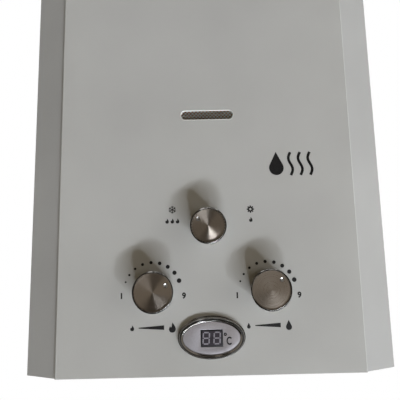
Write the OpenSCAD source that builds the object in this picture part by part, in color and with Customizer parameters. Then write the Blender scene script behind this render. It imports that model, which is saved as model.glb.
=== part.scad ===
// Wall-hung gas water heater, built as an assembly of separate pieces.
// X runs to the right seen from the front, Y points into the wall and Z points up.
// The pieces are drawn with Z = 0 at the casing's bottom edge and are then moved down,
// so that the origin lies on the wall, midway between the two hanging slots.

/* [Casing] */
// Width across the side panels
case_w = 345; // [338:1:380]
// Height without the flue collar and the pipe ends
case_h = 590; // [570:1:640]
// Depth from the wall to the face of the fascia
case_d = 142; // [140:1:165]
// Thickness of the casing sheet
sheet = 0.6; // [0.5:0.1:1]
// Width of the bevel at each side of the fascia
bevel_w = 30; // [24:1:36]
// Depth by which the bevel falls back to the side
bevel_d = 9; // [6:0.5:12]
// Step from the bevel's front edge to the fascia's face
fascia_step = 2; // [1.6:0.1:3]
// Width of the side panel's land behind the fascia
land_w = 14; // [10:1:18]
// Width of the seam between the fascia's edge and the bevel
seam = 0.6; // [0.4:0.1:1.2]
// Outside radius of the sheet folds
fold_r = 1.2; // [0.8:0.1:1.5]
// Height of the floor plate above the casing's bottom edge
floor_z = 16; // [14:1:20]
// Width of the flanges folded from the casing sheets
flange_w = 20; // [16:1:24]
// Height of the turned-down edges of the floor plate and the top cover
lip_h = 12; // [9:0.5:13]

/* [Side vents] */
// Number of vent slots in each side panel
vent_count = 7; // [3:1:9]
// Length of a vent slot
vent_len = 46; // [30:1:60]
// Width of a vent slot
vent_wid = 5; // [3:0.5:8]
// Distance from one vent slot to the next
vent_pitch = 14; // [10:1:18]
// Height of the lowest vent slot
vent_z = 112; // [90:1:140]

/* [Wall mounting] */
// Distance between the two wall screws
hang_pitch = 200; // [160:1:240]
// Width of the hanging slots
hang_slot_w = 8; // [6:0.5:10]
// Length of the hanging slots
hang_slot_len = 14; // [12:1:20]
// Height of the back panel's ear above the casing
ear_h = 24; // [20:1:34]
// Length of the back panel's feet below the casing
foot_h = 14; // [12:1:18]
// Width of each foot
foot_w = 28; // [20:1:36]
// Diameter of the lower wall holes
foot_hole_d = 6.5; // [5:0.5:8]

/* [Window] */
// Length of the window slot inside its liner
window_len = 51; // [40:1:64]
// Height of the window slot inside its liner
window_h = 8.3; // [6:0.1:12]
// Place of the window to the right of the middle
window_x = 1.5; // [-10:0.5:10]
// Height of the window's middle
window_z = 244.3; // [230:0.1:252]
// Wall thickness of the window liner
liner_wall = 1.1; // [0.8:0.1:2]
// Depth of the window liner behind the fascia's face
liner_depth = 1.2; // [1:0.2:6]
// Width of the liner's rim behind the fascia
liner_rim = 3; // [2:0.5:5]
// Thickness of the window mesh
mesh_t = 0.6; // [0.4:0.1:1]

/* [Knobs] */
// Diameter of the gas knob and the water knob
knob_d = 37; // [32:0.5:42]
// Diameter of the season knob
season_d = 33.5; // [30:0.5:38]
// Height of a knob from its base to its face
knob_h = 15; // [12:0.5:20]
// Gap between a knob and the fascia
knob_gap = 2; // [1:0.5:4]
// Narrowing of a knob's radius from base to face
knob_taper = 0.2; // [0.1:0.1:1.5]
// Wall thickness of a knob
knob_wall = 2.2; // [1.6:0.1:3]
// Thickness of the inlaid face disc
cap_t = 0.6; // [0.4:0.1:1]
// Width of the polished rim round the face disc
rim_w = 1.4; // [1:0.1:2.5]
// Distance between the axes of the gas knob and the water knob
knob_pitch = 106; // [104:0.5:120]
// Place of the middle between those knobs, to the right
knob_mid = 2; // [-4:0.5:4]
// Height of the axes of the gas knob and the water knob
knob_z = 77.5; // [74:0.5:84]
// Place of the season knob to the right of the middle
season_x = 0; // [-6:0.5:6]
// Height of the season knob's axis
season_z = 135.5; // [133:0.5:150]
// Distance of the pointer dimple from the face's edge
dimple_inset = 5.6; // [4:0.1:8]
// Diameter of the pointer dimple
dimple_d = 3.6; // [2:0.1:4]
// Angle of the gas knob's pointer, from the right
gas_mark = 26; // [20:1:160]
// Angle of the water knob's pointer, from the right
water_mark = 42; // [20:1:160]
// Angle of the season knob's pointer, from the right
season_mark = 146; // [20:1:160]
// Diameter of the spindles inside the knobs
shaft_d = 8; // [6:0.5:9]
// Diameter of the spindles inside the valves
plug_d = 10; // [9:0.5:12]
// Diameter of the shaft holes in the fascia
shaft_hole_d = 16; // [12:0.5:20]

/* [Display] */
// Width of the display bezel at its front edge
display_w = 57; // [50:0.5:66]
// Height of the display bezel at its front edge
display_h = 33.2; // [30:0.1:36]
// Place of the display to the right of the middle
display_x = 1; // [-6:0.5:6]
// Height of the display's middle
display_z = 33.6; // [30:0.1:36]
// Height of the bezel above the fascia
display_proud = 4; // [3.5:0.5:8]
// Widening of the bezel towards the fascia, at each side
bezel_flare = 2.7; // [1.5:0.1:4]
// Width of the bezel's front edge
bezel_edge = 2.2; // [1.6:0.1:3]
// Thickness of the display face plate
plate_t = 1.5; // [1:0.1:2]
// Width of the ledge behind the face plate
ledge_w = 2.6; // [2:0.1:3]
// Width of the two-digit module
led_w = 20.2; // [18:0.1:24]
// Height of the two-digit module
led_h = 15; // [13:0.1:17]
// Thickness of the display board
board_t = 1.6; // [1.2:0.1:2]

/* [Flue] */
// Outside diameter of the flue collar
flue_d = 110; // [100:1:112]
// Length of the flue collar above the casing
flue_len = 50; // [40:1:70]
// Distance of the flue's axis from the wall
flue_back = 73; // [70:0.5:75]
// Sheet thickness of the flue collar and the hood
flue_t = 0.8; // [0.6:0.1:1.2]
// Width of the flue collar's base flange
collar_flange = 9; // [8:0.5:10]
// Height of the straight skirt of the flue hood
hood_skirt = 40; // [25:1:50]

/* [Pipe ends] */
// Outside diameter of the threaded pipe ends
port_d = 20.96; // [16:0.01:21]
// Bore of the pipe ends
port_bore = 14; // [10:0.5:15]
// Length of the pipe ends below the casing
port_drop = 14; // [10:1:30]
// Width across the corners of the fittings' hexagons
hex_d = 31; // [28:0.5:33]
// Height of the fittings' hexagons
hex_h = 7.2; // [6:0.1:9]
// Place of the hot outlet to the left of the middle
hot_left = 133; // [130:0.5:136]
// Distance of the hot outlet from the wall
hot_back = 60; // [56:0.5:66]

/* [Valves] */
// Distance of the valves' axis from the wall
valve_back = 72; // [68:0.5:76]
// Radius of the gas valve's barrel
gas_r = 21; // [18:0.5:22]
// Radius of the water valve's barrel
water_r = 17; // [15:0.5:18]
// Radius of the diaphragm housing
disc_r = 34; // [32:0.5:35]
// Radius of the solenoid valve
coil_r = 16; // [12:0.5:16]
// Length of the solenoid valve
coil_len = 30; // [24:1:31]
// Diameter of the push rod
rod_d = 6; // [5:0.5:7]
// Travel of the push rod
rod_travel = 3.5; // [2.5:0.1:3.5]
// Diameter of the spring wire
spring_wire = 1.2; // [0.8:0.1:1.4]
// Number of coils of the return spring
spring_turns = 6; // [4:1:7]

/* [Heat exchanger] */
// Width of the combustion chamber
chamber_w = 190; // [180:1:196]
// Depth of the combustion chamber
chamber_d = 94; // [90:1:95]
// Distance of the combustion chamber from the wall
chamber_back = 22; // [22:0.5:24]
// Height of the combustion chamber below the fins
chamber_h = 160; // [150:1:180]
// Height of the finned part
fin_h = 60; // [46:1:70]
// Sheet thickness of the combustion chamber
chamber_t = 1; // [0.8:0.1:1.4]
// Distance from one fin to the next
fin_pitch = 5; // [4:0.5:8]
// Thickness of a fin
fin_t = 0.5; // [0.4:0.1:1]
// Outside diameter of the exchanger pipe
pipe_d = 14; // [12:0.5:14]
// Wall thickness of the exchanger pipe
pipe_wall = 1; // [0.8:0.1:1.5]
// Bend radius of the exchanger pipe
pipe_bend = 12; // [10:0.5:12]

/* [Burner] */
// Number of burner blades
blade_count = 9; // [5:2:9]
// Distance from one blade to the next
blade_pitch = 18; // [16:0.5:19]
// Thickness of a burner blade
blade_t = 10; // [8:0.5:12]
// Height of the burner frame
burner_h = 32; // [28:1:40]

/* [Battery] */
// Diameter of a cell
cell_d = 33.2; // [32:0.1:33.5]
// Length of a cell
cell_len = 61; // [58:0.1:62]
// Wall thickness of the battery box
box_wall = 1.6; // [1.2:0.1:1.8]
// Thickness of the battery door
door_t = 2.2; // [1.8:0.1:2.4]

/* [Hidden] */
$fn = 48;
// Clearances: a piece in its seat, a shaft in its bore, and pieces that pass each other
seat_gap = 0.05;
run_gap = 0.05;
pass_gap = 0.3;
// Planes of the casing
x_side = case_w / 2;
x_in = x_side - sheet;
x_fascia = x_side - bevel_w;
y_face = -case_d;
y_back = -sheet;
y_land = y_face + fascia_step;
y_side = y_land + bevel_d;
z_top = case_h - sheet;
z_floor = floor_z + sheet;
hang_z = case_h + ear_h / 2;
lip_inset = 4;
ear_margin = 6;
fold_steps = 4;
// Casing screws
screw_r = 1.9;
screw_len = 7;
head_r = 3.4;
head_h = 1.8;
screw_y = -flange_w / 2;
// Knobs and the axes of the controls
gas_x = knob_mid - knob_pitch / 2;
water_x = knob_mid + knob_pitch / 2;
valve_y = -valve_back;
boss_len = 32;
boss_wall = 8;
bore_deep = 8;
boss_y = valve_y - boss_len;
bore_y = valve_y + bore_deep;
plug_r = plug_d / 2;
knob_face = knob_gap + knob_h;
hub_wall = 3;
hub_r = shaft_d / 2 + hub_wall;
hub_z = knob_gap + 1;
web_t = 2.2;
flat_cut = 1.2;
dimple_deep = 0.4;
dimple_ball = (dimple_d * dimple_d / 4 + dimple_deep * dimple_deep) / (2 * dimple_deep);
// Display
pocket_w = display_w - 2 * bezel_edge;
pocket_h = display_h - 2 * bezel_edge;
plate_inset = 1;
board_inset = 1;
board_skirt = 3;
led_inset = 0.2;
ledge_y = y_face - display_proud + plate_inset + plate_t;
board_y = y_face + board_inset;
// Pipe ends and valve inlets
nut_h = 5.5;
nut_over = 2;
neck_fit_r = port_d / 2 + 1;
inlet_r = 14;
inlet_rise = 10;
inlet_z = z_floor + hex_h + inlet_rise;
// Gas valve
gas_long = 37;
gas_short = 25;
gas_left = gas_x - gas_long;
gas_right = gas_x + gas_short;
bonnet_t = 6;
bonnet_over = 3;
bonnet_x = gas_right + bonnet_t;
outlet_wall = 3;
gas_out_at = 15;
gas_out_x = gas_x - gas_out_at;
gas_out_z = knob_z + gas_r + outlet_wall;
// Water valve, diaphragm and drain
half_t = 8;
water_short = 17;
water_long = 35;
water_left = water_x - water_short;
water_right = water_x + water_long;
disc_x = water_left - half_t;
rubber_t = 1;
cover_x = disc_x - rubber_t - half_t;
cover_boss = 7;
cover_boss_wall = 5;
cavity_r = disc_r - 6;
cover_cavity = 6;
body_cavity = 4;
disc_screw_r = 1.6;
disc_head_over = 1.2;
disc_head_h = 2;
disc_screw_at = disc_r - 3;
disc_screws = 6;
water_out_at = 19;
water_out_rise = 9.5;
water_out_x = water_x + water_out_at;
water_out_z = knob_z + water_r + water_out_rise;
drain_at = 27;
drain_off = 6;
drain_drop = 14.5;
drain_x = water_x + drain_at;
drain_y = valve_y + drain_off;
drain_z = knob_z - water_r - drain_drop;
drain_r = 5;
drain_wall = 3;
drain_depth = 18;
drain_flange_t = 2.5;
drain_flange_over = 2.5;
drain_head_r = 9;
drain_head_h = 10;
seal_space = 2;
// Push rod, collar, spring and lever
rod_r = rod_d / 2;
guide_len = 14;
pusher_t = 2;
pusher_gap = 0.2;
pusher_x = disc_x - rubber_t - pusher_gap - pusher_t;
spring_space = 18;
collar_x = bonnet_x + spring_space;
collar_t = 4;
collar_r = 9;
spring_clear = 1.4;
spring_r = rod_r + spring_wire / 2 + spring_clear;
lever_t = 0.8;
lever_rise = 9.5;
lever_eye_r = 2;
lever_x = collar_x - pass_gap - lever_t / 2;
lever_z = knob_z + collar_r + lever_rise;
lever_half = 2;
switch_half = 3.2;
switch_top = 5;
switch_base = 1;
switch_base_half = 8;
pin_r = 0.8;
// Manifold, burner and chamber, from the season knob's axis upwards
nozzle_rise = 7.5;
manifold_z = season_z - nozzle_rise;
manifold_h = 23;
manifold_d = 16;
manifold_t = 2;
manifold_tab = 8;
nozzle_z = season_z + nozzle_rise;
nozzle_r = 4;
nozzle_len = 5;
nozzle_tip = 2;
burner_rise = 24.5;
burner_z = season_z + burner_rise;
chamber_z = burner_z + burner_h;
chamber_top = chamber_z + chamber_h + fin_h;
chamber_y = -chamber_back - chamber_d / 2;
chamber_front = -chamber_back - chamber_d;
manifold_gap = 4;
manifold_y = chamber_front - manifold_gap;
manifold_face = manifold_y - manifold_d;
manifold_w = (blade_count - 1) * blade_pitch + 2 * manifold_d;
season_bore = 12;
blade_wall = 0.8;
blade_drop = 4;
mouth_half = 7;
rail = 4.8;
rail_h = 8;
frame_t = 1.2;
// Chamber brackets
bracket_x = 60;
bracket_half = 20;
bracket_foot = 14;
bracket_low = 23;
bracket_high = 7;
// Electrodes in the chamber's front wall
electrode_x = 18;
electrode_rise = 10;
electrode_z = chamber_z + electrode_rise;
insulator_r = 4;
insulator_len = 12;
insulator_out = 14;
insulator_bead = 2;
electrode_len = 18;
// Pipe runs round the chamber and through the fins
pipe_r = pipe_d / 2;
pipe_clear = 1.8;
tube_z = chamber_top - fin_h / 2;
tube_step = 29;
coil_x = chamber_w / 2 + pipe_r + pipe_clear;
coil_y = chamber_front - pipe_r - pipe_clear;
coil_back = -chamber_back + pipe_r + pipe_clear;
coil_rise = 31;
coil_z = window_z + coil_rise;
bend_x = chamber_w / 2 + 2 * pipe_bend - 1;
cross_rise = 18;
cross_z = water_out_z + cross_rise;
hot_turn_z = coil_z - 2 * pipe_bend;
hot_x = -hot_left;
hot_y = -hot_back;
// Sensors on the hot pipe
stat_r = 8;
stat_h = 7;
stat_rise = 36;
stat_z = chamber_z + stat_rise;
probe_r = 4;
probe_h = 6;
probe_rise = 14;
probe_z = inlet_z + probe_rise;
// Flue
flue_r = flue_d / 2;
flue_y = -flue_back;
neck_gap = 0.4;
neck_r = flue_r - flue_t - neck_gap;
neck_drop = 50;
neck_rise = 12;
neck_z = case_h - neck_drop;
neck_top = case_h + neck_rise;
// Spark controller on the back panel
controller_w = 60;
controller_h = 90;
controller_d = 34;
controller_gap = 6;
controller_x = -x_in + controller_gap + controller_w / 2;
controller_rise = 30;
controller_z = knob_z + controller_rise;
// Battery box below the water side, clear of the water valve's barrel
cell_gap = 1.2;
box_w = 2 * cell_d + 2 * cell_gap + 2 * box_wall;
box_d = cell_d + 2 * cell_gap + 2 * box_wall;
box_side = 10.7;
box_clear = 0.5;
box_x = x_in - box_side - box_w / 2;
box_y = valve_y - water_r - box_clear - box_d / 2;
box_flange = 1.4;
box_low = floor_z - box_flange;
box_roof = box_low + cell_len + 1.4;
flange_over = 3;
hinge_back = 7.6;
hinge_pin_r = 1;
hinge_r = 1.7;
hinge_y = box_y + box_d / 2 + hinge_back;
hinge_z = box_low - pass_gap - hinge_r;
knuckle_half = 3;
knuckle_drop = 2.8;
knuckle_clear = 4.6;
hinge_flange = hinge_back + 4;
door_top = box_low - 0.4;
door_rise = 1;
ear_in = 8;
ear_t = 4;

// Geometry helpers

function unit(v) = v / norm(v);

function left_normal(a, b) = let (d = unit(b - a)) [-d[1], d[0]];

// A path moved to its left by t, with mitred corners
function offset_path(p, t) = [
    for (i = [0 : len(p) - 1])
        let (
            before = i > 0 ? left_normal(p[i - 1], p[i]) : left_normal(p[0], p[1]),
            after = i < len(p) - 1 ? left_normal(p[i], p[i + 1]) : before
        )
        p[i] + t * (before + after) / (1 + before * after)
];

function rotated(v, a) = [v[0] * cos(a) - v[1] * sin(a), v[0] * sin(a) + v[1] * cos(a)];

// Points of a round fold at the corner b between a and c
function fold_points(a, b, c, r) =
    let (
        u = unit(b - a),
        v = unit(c - b),
        turn = acos(u * v),
        way = sign(u[0] * v[1] - u[1] * v[0]),
        start = b - u * r * tan(turn / 2),
        centre = start + way * r * [-u[1], u[0]]
    )
    [for (k = [0 : fold_steps]) centre + rotated(start - centre, way * turn * k / fold_steps)];

// A path with round folds at its inner corners
function rounded(p, r) = [
    p[0],
    for (i = [1 : len(p) - 2])
        for (q = fold_points(p[i - 1], p[i], p[i + 1], r))
            q,
    p[len(p) - 1]
];

function reversed(p) = [for (i = [len(p) - 1 : -1 : 0]) p[i]];

function ellipse_points(w, h) = [for (i = [0 : 71]) [w / 2 * cos(5 * i), h / 2 * sin(5 * i)]];

// Section of a sheet that is folded along a path, with its thickness to the left
module folded_sheet(p, t) {
    polygon(concat(p, reversed(offset_path(p, t))));
}

// Slot with round ends along X
module slot_shape(length, width) {
    square([length - width, width], center = true);
    for (s = [-1, 1])
        translate([s * (length - width) / 2, 0])
            circle(d = width);
}

// Puts a shape that is drawn flat onto the front, growing towards the viewer
module on_front(x, y, z) {
    translate([x, y, z])
        rotate([90, 0, 0])
            children();
}

// Cylinder along X
module rod_x(x0, x1, y, z, r) {
    translate([x0, y, z])
        rotate([0, 90, 0])
            cylinder(r = r, h = x1 - x0);
}

// Cylinder along Y, from the rear towards the front
module rod_y(x, y0, y1, z, r) {
    on_front(x, y0, z)
        cylinder(r = r, h = y0 - y1);
}

// Upright cylinder
module rod_z(x, y, z0, z1, r) {
    translate([x, y, z0])
        cylinder(r = r, h = z1 - z0);
}

// Box from one corner to the other
module block(a, b) {
    translate(a)
        cube(b - a);
}

// Round section, hollow when the inner radius is above zero
module ring_shape(r_out, r_in) {
    difference() {
        circle(r = r_out);
        if (r_in > 0)
            circle(r = r_in);
    }
}

// Sets the drawing's axes along three unit vectors at a point
module in_frame(ex, ey, ez, p) {
    multmatrix([
        [ex[0], ey[0], ez[0], p[0]],
        [ex[1], ey[1], ez[1], p[1]],
        [ex[2], ey[2], ez[2], p[2]],
        [0, 0, 0, 1]
    ])
        children();
}

// Length that a bend takes off each leg at corner i
function bend_trim(p, i, bend) = i == 0 || i == len(p) - 1
    ? 0
    : let (u = unit(p[i] - p[i - 1]), v = unit(p[i + 1] - p[i])) bend * tan(acos(u * v) / 2);

// Tube along a run of points, with round bends
module pipe_run(p, r_out, r_in, bend) {
    for (i = [0 : len(p) - 2]) {
        u = unit(p[i + 1] - p[i]);
        side = unit(cross(u, abs(u[2]) < 0.9 ? [0, 0, 1] : [1, 0, 0]));
        length = norm(p[i + 1] - p[i]) - bend_trim(p, i, bend) - bend_trim(p, i + 1, bend);
        in_frame(side, cross(u, side), u, p[i] + u * bend_trim(p, i, bend))
            linear_extrude(height = length)
                ring_shape(r_out, r_in);
    }
    for (i = [1 : len(p) - 2]) {
        u = unit(p[i] - p[i - 1]);
        v = unit(p[i + 1] - p[i]);
        inward = unit(v - (u * v) * u);
        centre = p[i] - u * bend_trim(p, i, bend) + inward * bend;
        in_frame(-inward, u, cross(-inward, u), centre)
            rotate_extrude(angle = acos(u * v))
                translate([bend, 0])
                    ring_shape(r_out, r_in);
    }
}

// Casing

function side_corners() = [
    [x_fascia - land_w, y_land],
    [x_fascia + seam, y_land],
    [x_side, y_side],
    [x_side, 0]
];

function inner_corners() = offset_path(side_corners(), sheet);

// Heights of the screws that hold a side panel to the back panel
function side_screw_heights() = [case_h * 0.1, case_h * 0.5, case_h * 0.9];

// Places on the right side that take a casing screw, as Y and Z
function side_screws() = concat(
    [for (z = side_screw_heights()) [screw_y, z]],
    [[-case_d / 2, floor_z - lip_h / 2], [-case_d / 2, z_top - lip_h / 2]]
);

module side_screw_holes() {
    for (s = side_screws())
        rod_x(x_in - 2 * sheet, x_side + 1, s[0], s[1], screw_r + seat_gap);
}

module both_sides() {
    children();
    mirror([1, 0, 0])
        children();
}

module side_panel() {
    difference() {
        linear_extrude(height = z_top)
            folded_sheet(rounded(side_corners(), fold_r), sheet);
        for (i = [0 : vent_count - 1])
            translate([x_side - 2 * sheet, -case_d / 2, vent_z + i * vent_pitch])
                rotate([90, 0, 90])
                    linear_extrude(height = 3 * sheet)
                        slot_shape(vent_len, vent_wid);
        side_screw_holes();
    }
}

module right_side_panel() {
    color("WhiteSmoke")
        side_panel();
}

module left_side_panel() {
    color("WhiteSmoke")
        mirror([1, 0, 0])
            side_panel();
}

module back_panel() {
    ear_w = hang_pitch + 2 * hang_slot_len + 2 * ear_margin;
    color("Silver")
        difference() {
            union() {
                block([-x_in, y_back, 0], [x_in, 0, z_top]);
                block([-ear_w / 2, y_back, z_top], [ear_w / 2, 0, case_h + ear_h]);
                both_sides() {
                    block([x_in - sheet, -flange_w, 0], [x_in, y_back, z_top]);
                    block([(hang_pitch - foot_w) / 2, y_back, -foot_h], [(hang_pitch + foot_w) / 2, 0, 0]);
                }
            }
            both_sides() {
                on_front(hang_pitch / 2, 1, hang_z)
                    linear_extrude(height = 2 + sheet)
                        slot_shape(hang_slot_len, hang_slot_w);
                rod_y(hang_pitch / 2, 1, -1 - sheet, -foot_h / 2, foot_hole_d / 2);
                side_screw_holes();
            }
        }
}

// Hole through the fascia for the display's sleeve
module display_hole() {
    polygon(ellipse_points(display_w - 2 * pass_gap, display_h - 2 * pass_gap));
}

module window_shape(extra) {
    slot_shape(window_len + 2 * extra, window_h + 2 * extra);
}

module front_fascia() {
    fold = [[-x_fascia, y_land], [-x_fascia, y_face], [x_fascia, y_face], [x_fascia, y_land]];
    lip_end = x_fascia - land_w - pass_gap;
    color("WhiteSmoke")
        difference() {
            union() {
                linear_extrude(height = z_top)
                    folded_sheet(rounded(fold, fold_r), sheet);
                block([-lip_end, y_face + sheet, 0], [lip_end, y_face + lip_h, sheet]);
            }
            on_front(window_x, y_face + 2 * sheet, window_z)
                linear_extrude(height = 3 * sheet)
                    window_shape(liner_wall + seat_gap);
            on_front(display_x, y_face + 2 * sheet, display_z)
                linear_extrude(height = 3 * sheet)
                    display_hole();
            for (p = [[gas_x, knob_z], [water_x, knob_z], [season_x, season_z]])
                rod_y(p[0], y_face + 2 * sheet, y_face - sheet, p[1], shaft_hole_d / 2);
        }
}

module top_cover() {
    corners = [[x_side, y_back], [x_side, y_side], [x_fascia + seam, y_land], [x_fascia, y_face]];
    outline = rounded(corners, fold_r);
    color("WhiteSmoke")
        difference() {
            union() {
                translate([0, 0, z_top])
                    linear_extrude(height = sheet)
                        polygon(concat(outline, reversed([for (p = outline) [-p[0], p[1]]])));
                both_sides()
                    block([x_in - sheet, y_side + lip_inset, z_top - lip_h],
                        [x_in, -flange_w - lip_inset, z_top]);
            }
            rod_z(0, flue_y, z_top - 1, case_h + 1, flue_r);
            both_sides()
                side_screw_holes();
        }
}

module flue_collar() {
    color("Silver")
        difference() {
            union() {
                rod_z(0, flue_y, case_h, case_h + flue_t, flue_r + collar_flange);
                rod_z(0, flue_y, case_h, case_h + flue_len, flue_r);
            }
            rod_z(0, flue_y, case_h - 1, case_h + flue_len + 1, flue_r - flue_t);
        }
}

module casing_screw() {
    cylinder(r = head_r, h = head_h);
    translate([0, 0, -screw_len])
        cylinder(r = screw_r, h = screw_len);
}

module casing_screws() {
    color("Silver")
        both_sides()
            for (s = side_screws())
                translate([x_side, s[0], s[1]])
                    rotate([0, 90, 0])
                        casing_screw();
}

// Outline of the floor plate inside the side panels, clear of the back panel's flanges
function floor_outline() = [
    [x_in - sheet - pass_gap, y_back - pass_gap],
    [x_in - sheet - pass_gap, -flange_w - pass_gap],
    [x_in, -flange_w - pass_gap],
    [x_in, inner_corners()[2][1] + fold_r + pass_gap],
    [inner_corners()[1][0], inner_corners()[1][1] + pass_gap]
];

module floor_plate() {
    floor_front = inner_corners()[1][1] + pass_gap;
    floor_slot = 0.7 * vent_len;
    color("Gainsboro")
        difference() {
            union() {
                translate([0, 0, floor_z])
                    linear_extrude(height = sheet)
                        polygon(concat(floor_outline(), reversed([for (p = floor_outline()) [-p[0], p[1]]])));
                both_sides()
                    block([x_in - sheet, floor_outline()[3][1], floor_z - lip_h],
                        [x_in, -flange_w - lip_inset, floor_z]);
                block([land_w - x_fascia, floor_front, sheet],
                    [x_fascia - land_w, floor_front + sheet, floor_z]);
            }
            for (p = ports())
                rod_z(p[0], p[1], floor_z - 1, z_floor + 1, neck_fit_r + 0.5);
            rod_z(drain_x, drain_y, floor_z - 1, z_floor + 1, drain_r + 1);
            battery_hole(floor_z - 1, z_floor + 1);
            for (i = [0 : vent_count - 1])
                translate([(i - (vent_count - 1) / 2) * vent_pitch, -flange_w - floor_slot / 2, floor_z - 1])
                    rotate(90)
                        linear_extrude(height = sheet + 2)
                            slot_shape(floor_slot, vent_wid);
            both_sides()
                side_screw_holes();
        }
}

// Viewing window

module window_liner() {
    color("White")
        difference() {
            union() {
                on_front(window_x, y_face + liner_depth, window_z)
                    linear_extrude(height = liner_depth + 0.3)
                        window_shape(liner_wall);
                on_front(window_x, y_face + liner_depth, window_z)
                    linear_extrude(height = liner_depth - sheet)
                        window_shape(liner_wall + liner_rim);
            }
            on_front(window_x, y_face + liner_depth + 1, window_z)
                linear_extrude(height = liner_depth + 2)
                    window_shape(0);
        }
}

module window_mesh() {
    color("DimGray")
        on_front(window_x, y_face + liner_depth + mesh_t, window_z)
            linear_extrude(height = mesh_t)
                window_shape(liner_wall + liner_rim / 2);
}

// Knobs and spindles

// Seat in a knob's hub for a spindle's flatted end
module flatted_seat(r, h) {
    difference() {
        cylinder(r = r, h = h);
        translate([r - flat_cut, -2 * r, -1])
            cube([r, 4 * r, h + 2]);
    }
}

function cap_r(d) = d / 2 - knob_taper - rim_w;

module knob(x, z, d, mark) {
    floor_r = cap_r(d);
    web = knob_face - cap_t - web_t;
    on_front(x, y_face, z)
        difference() {
            rotate_extrude()
                polygon([
                    [0, hub_z],
                    [hub_r, hub_z],
                    [hub_r, web],
                    [d / 2 - knob_taper - knob_wall, web],
                    [d / 2 - knob_wall, knob_gap],
                    [d / 2, knob_gap],
                    [d / 2 - knob_taper, knob_face - rim_w / 2],
                    [d / 2 - knob_taper - rim_w / 2, knob_face],
                    [floor_r, knob_face],
                    [floor_r, knob_face - cap_t],
                    [0, knob_face - cap_t]
                ]);
            rotate(mark)
                translate([0, 0, hub_z - 1])
                    flatted_seat(shaft_d / 2 + seat_gap, web - hub_z);
        }
}

module knob_disc(x, z, d, mark) {
    r = cap_r(d) - seat_gap;
    on_front(x, y_face - knob_face + cap_t, z)
        difference() {
            cylinder(r = r, h = cap_t);
            rotate(mark)
                translate([d / 2 - dimple_inset, 0, cap_t + dimple_ball - dimple_deep])
                    sphere(r = dimple_ball);
        }
}

// Spindle from its plug in a valve to its flatted end in a knob
module spindle(x, z, y_in, y_out, mark) {
    plug_len = y_in - y_out - 0.5;
    neck_len = y_in - y_face + hub_z - 0.5;
    end_len = y_in - y_face + knob_face - cap_t - 4;
    on_front(x, y_in, z)
        rotate(mark)
            difference() {
                union() {
                    cylinder(r = plug_r, h = plug_len);
                    cylinder(r = shaft_d / 2, h = end_len);
                }
                translate([shaft_d / 2 - flat_cut, -shaft_d, neck_len])
                    cube([shaft_d, 2 * shaft_d, end_len]);
            }
}

module gas_knob() {
    color("LightGray")
        knob(gas_x, knob_z, knob_d, gas_mark);
}

module gas_knob_disc() {
    color("DarkGray")
        knob_disc(gas_x, knob_z, knob_d, gas_mark);
}

module gas_spindle() {
    color("Goldenrod")
        spindle(gas_x, knob_z, bore_y - pass_gap, boss_y, gas_mark);
}

module water_knob() {
    color("LightGray")
        knob(water_x, knob_z, knob_d, water_mark);
}

module water_knob_disc() {
    color("DarkGray")
        knob_disc(water_x, knob_z, knob_d, water_mark);
}

module water_spindle() {
    color("Goldenrod")
        spindle(water_x, knob_z, bore_y - pass_gap, boss_y, water_mark);
}

module season_knob() {
    color("LightGray")
        knob(season_x, season_z, season_d, season_mark);
}

module season_knob_disc() {
    color("DarkGray")
        knob_disc(season_x, season_z, season_d, season_mark);
}

module season_spindle() {
    color("Goldenrod")
        spindle(season_x, season_z, manifold_face + season_bore - pass_gap, manifold_face, season_mark);
}

// Display

module display_oval(w, h, y0, y1) {
    on_front(display_x, y0, display_z)
        linear_extrude(height = y0 - y1)
            polygon(ellipse_points(w, h));
}

module display_bezel() {
    base_w = display_w + 2 * bezel_flare;
    base_h = display_h + 2 * bezel_flare;
    narrowing = [display_w / base_w, display_h / base_h];
    sleeve = 2 * (pass_gap + led_inset);
    sleeve_y = board_y + board_t + board_skirt;
    color("LightGray")
        difference() {
            union() {
                on_front(display_x, y_face, display_z)
                    linear_extrude(height = display_proud, scale = narrowing, slices = 1)
                        polygon(ellipse_points(base_w, base_h));
                display_oval(display_w - 2 * sleeve, display_h - 2 * sleeve, sleeve_y, y_face);
            }
            display_oval(pocket_w, pocket_h, ledge_y, y_face - display_proud - 1);
            display_oval(pocket_w - 2 * ledge_w, pocket_h - 2 * ledge_w, board_y, ledge_y - 1);
            display_oval(pocket_w, pocket_h, sleeve_y + 1, board_y);
        }
}

module display_plate() {
    color("Silver")
        difference() {
            display_oval(pocket_w - 2 * seat_gap, pocket_h - 2 * seat_gap, ledge_y, ledge_y - plate_t);
            on_front(display_x, ledge_y + 1, display_z)
                translate([0, 0, plate_t / 2 + 1])
                    cube([led_w + 2 * seat_gap, led_h + 2 * seat_gap, plate_t + 2], center = true);
        }
}

module digit_module() {
    color("DimGray")
        block([display_x - led_w / 2, ledge_y - plate_t + led_inset, display_z - led_h / 2],
            [display_x + led_w / 2, board_y, display_z + led_h / 2]);
}

module display_board() {
    color("SeaGreen")
        display_oval(pocket_w - 2 * seat_gap, pocket_h - 2 * seat_gap, board_y + board_t, board_y);
}

// Pipe ends

function ports() = [[water_x, valve_y], [hot_x, hot_y], [gas_x, valve_y]];

module fitting(p) {
    translate([p[0], p[1], 0])
        difference() {
            union() {
                rod_z(0, 0, -port_drop, z_floor, port_d / 2);
                rod_z(0, 0, floor_z - nut_h - 0.5, z_floor, neck_fit_r);
                translate([0, 0, z_floor])
                    cylinder(d = hex_d, h = hex_h, $fn = 6);
                rod_z(0, 0, z_floor + hex_h, inlet_z, inlet_r - 0.5);
            }
            rod_z(0, 0, -port_drop - 1, inlet_z + 1, port_bore / 2);
        }
}

module cold_inlet() {
    color("Goldenrod")
        fitting(ports()[0]);
}

module hot_outlet() {
    color("Goldenrod")
        fitting(ports()[1]);
}

module gas_inlet() {
    color("Goldenrod")
        fitting(ports()[2]);
}

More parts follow.
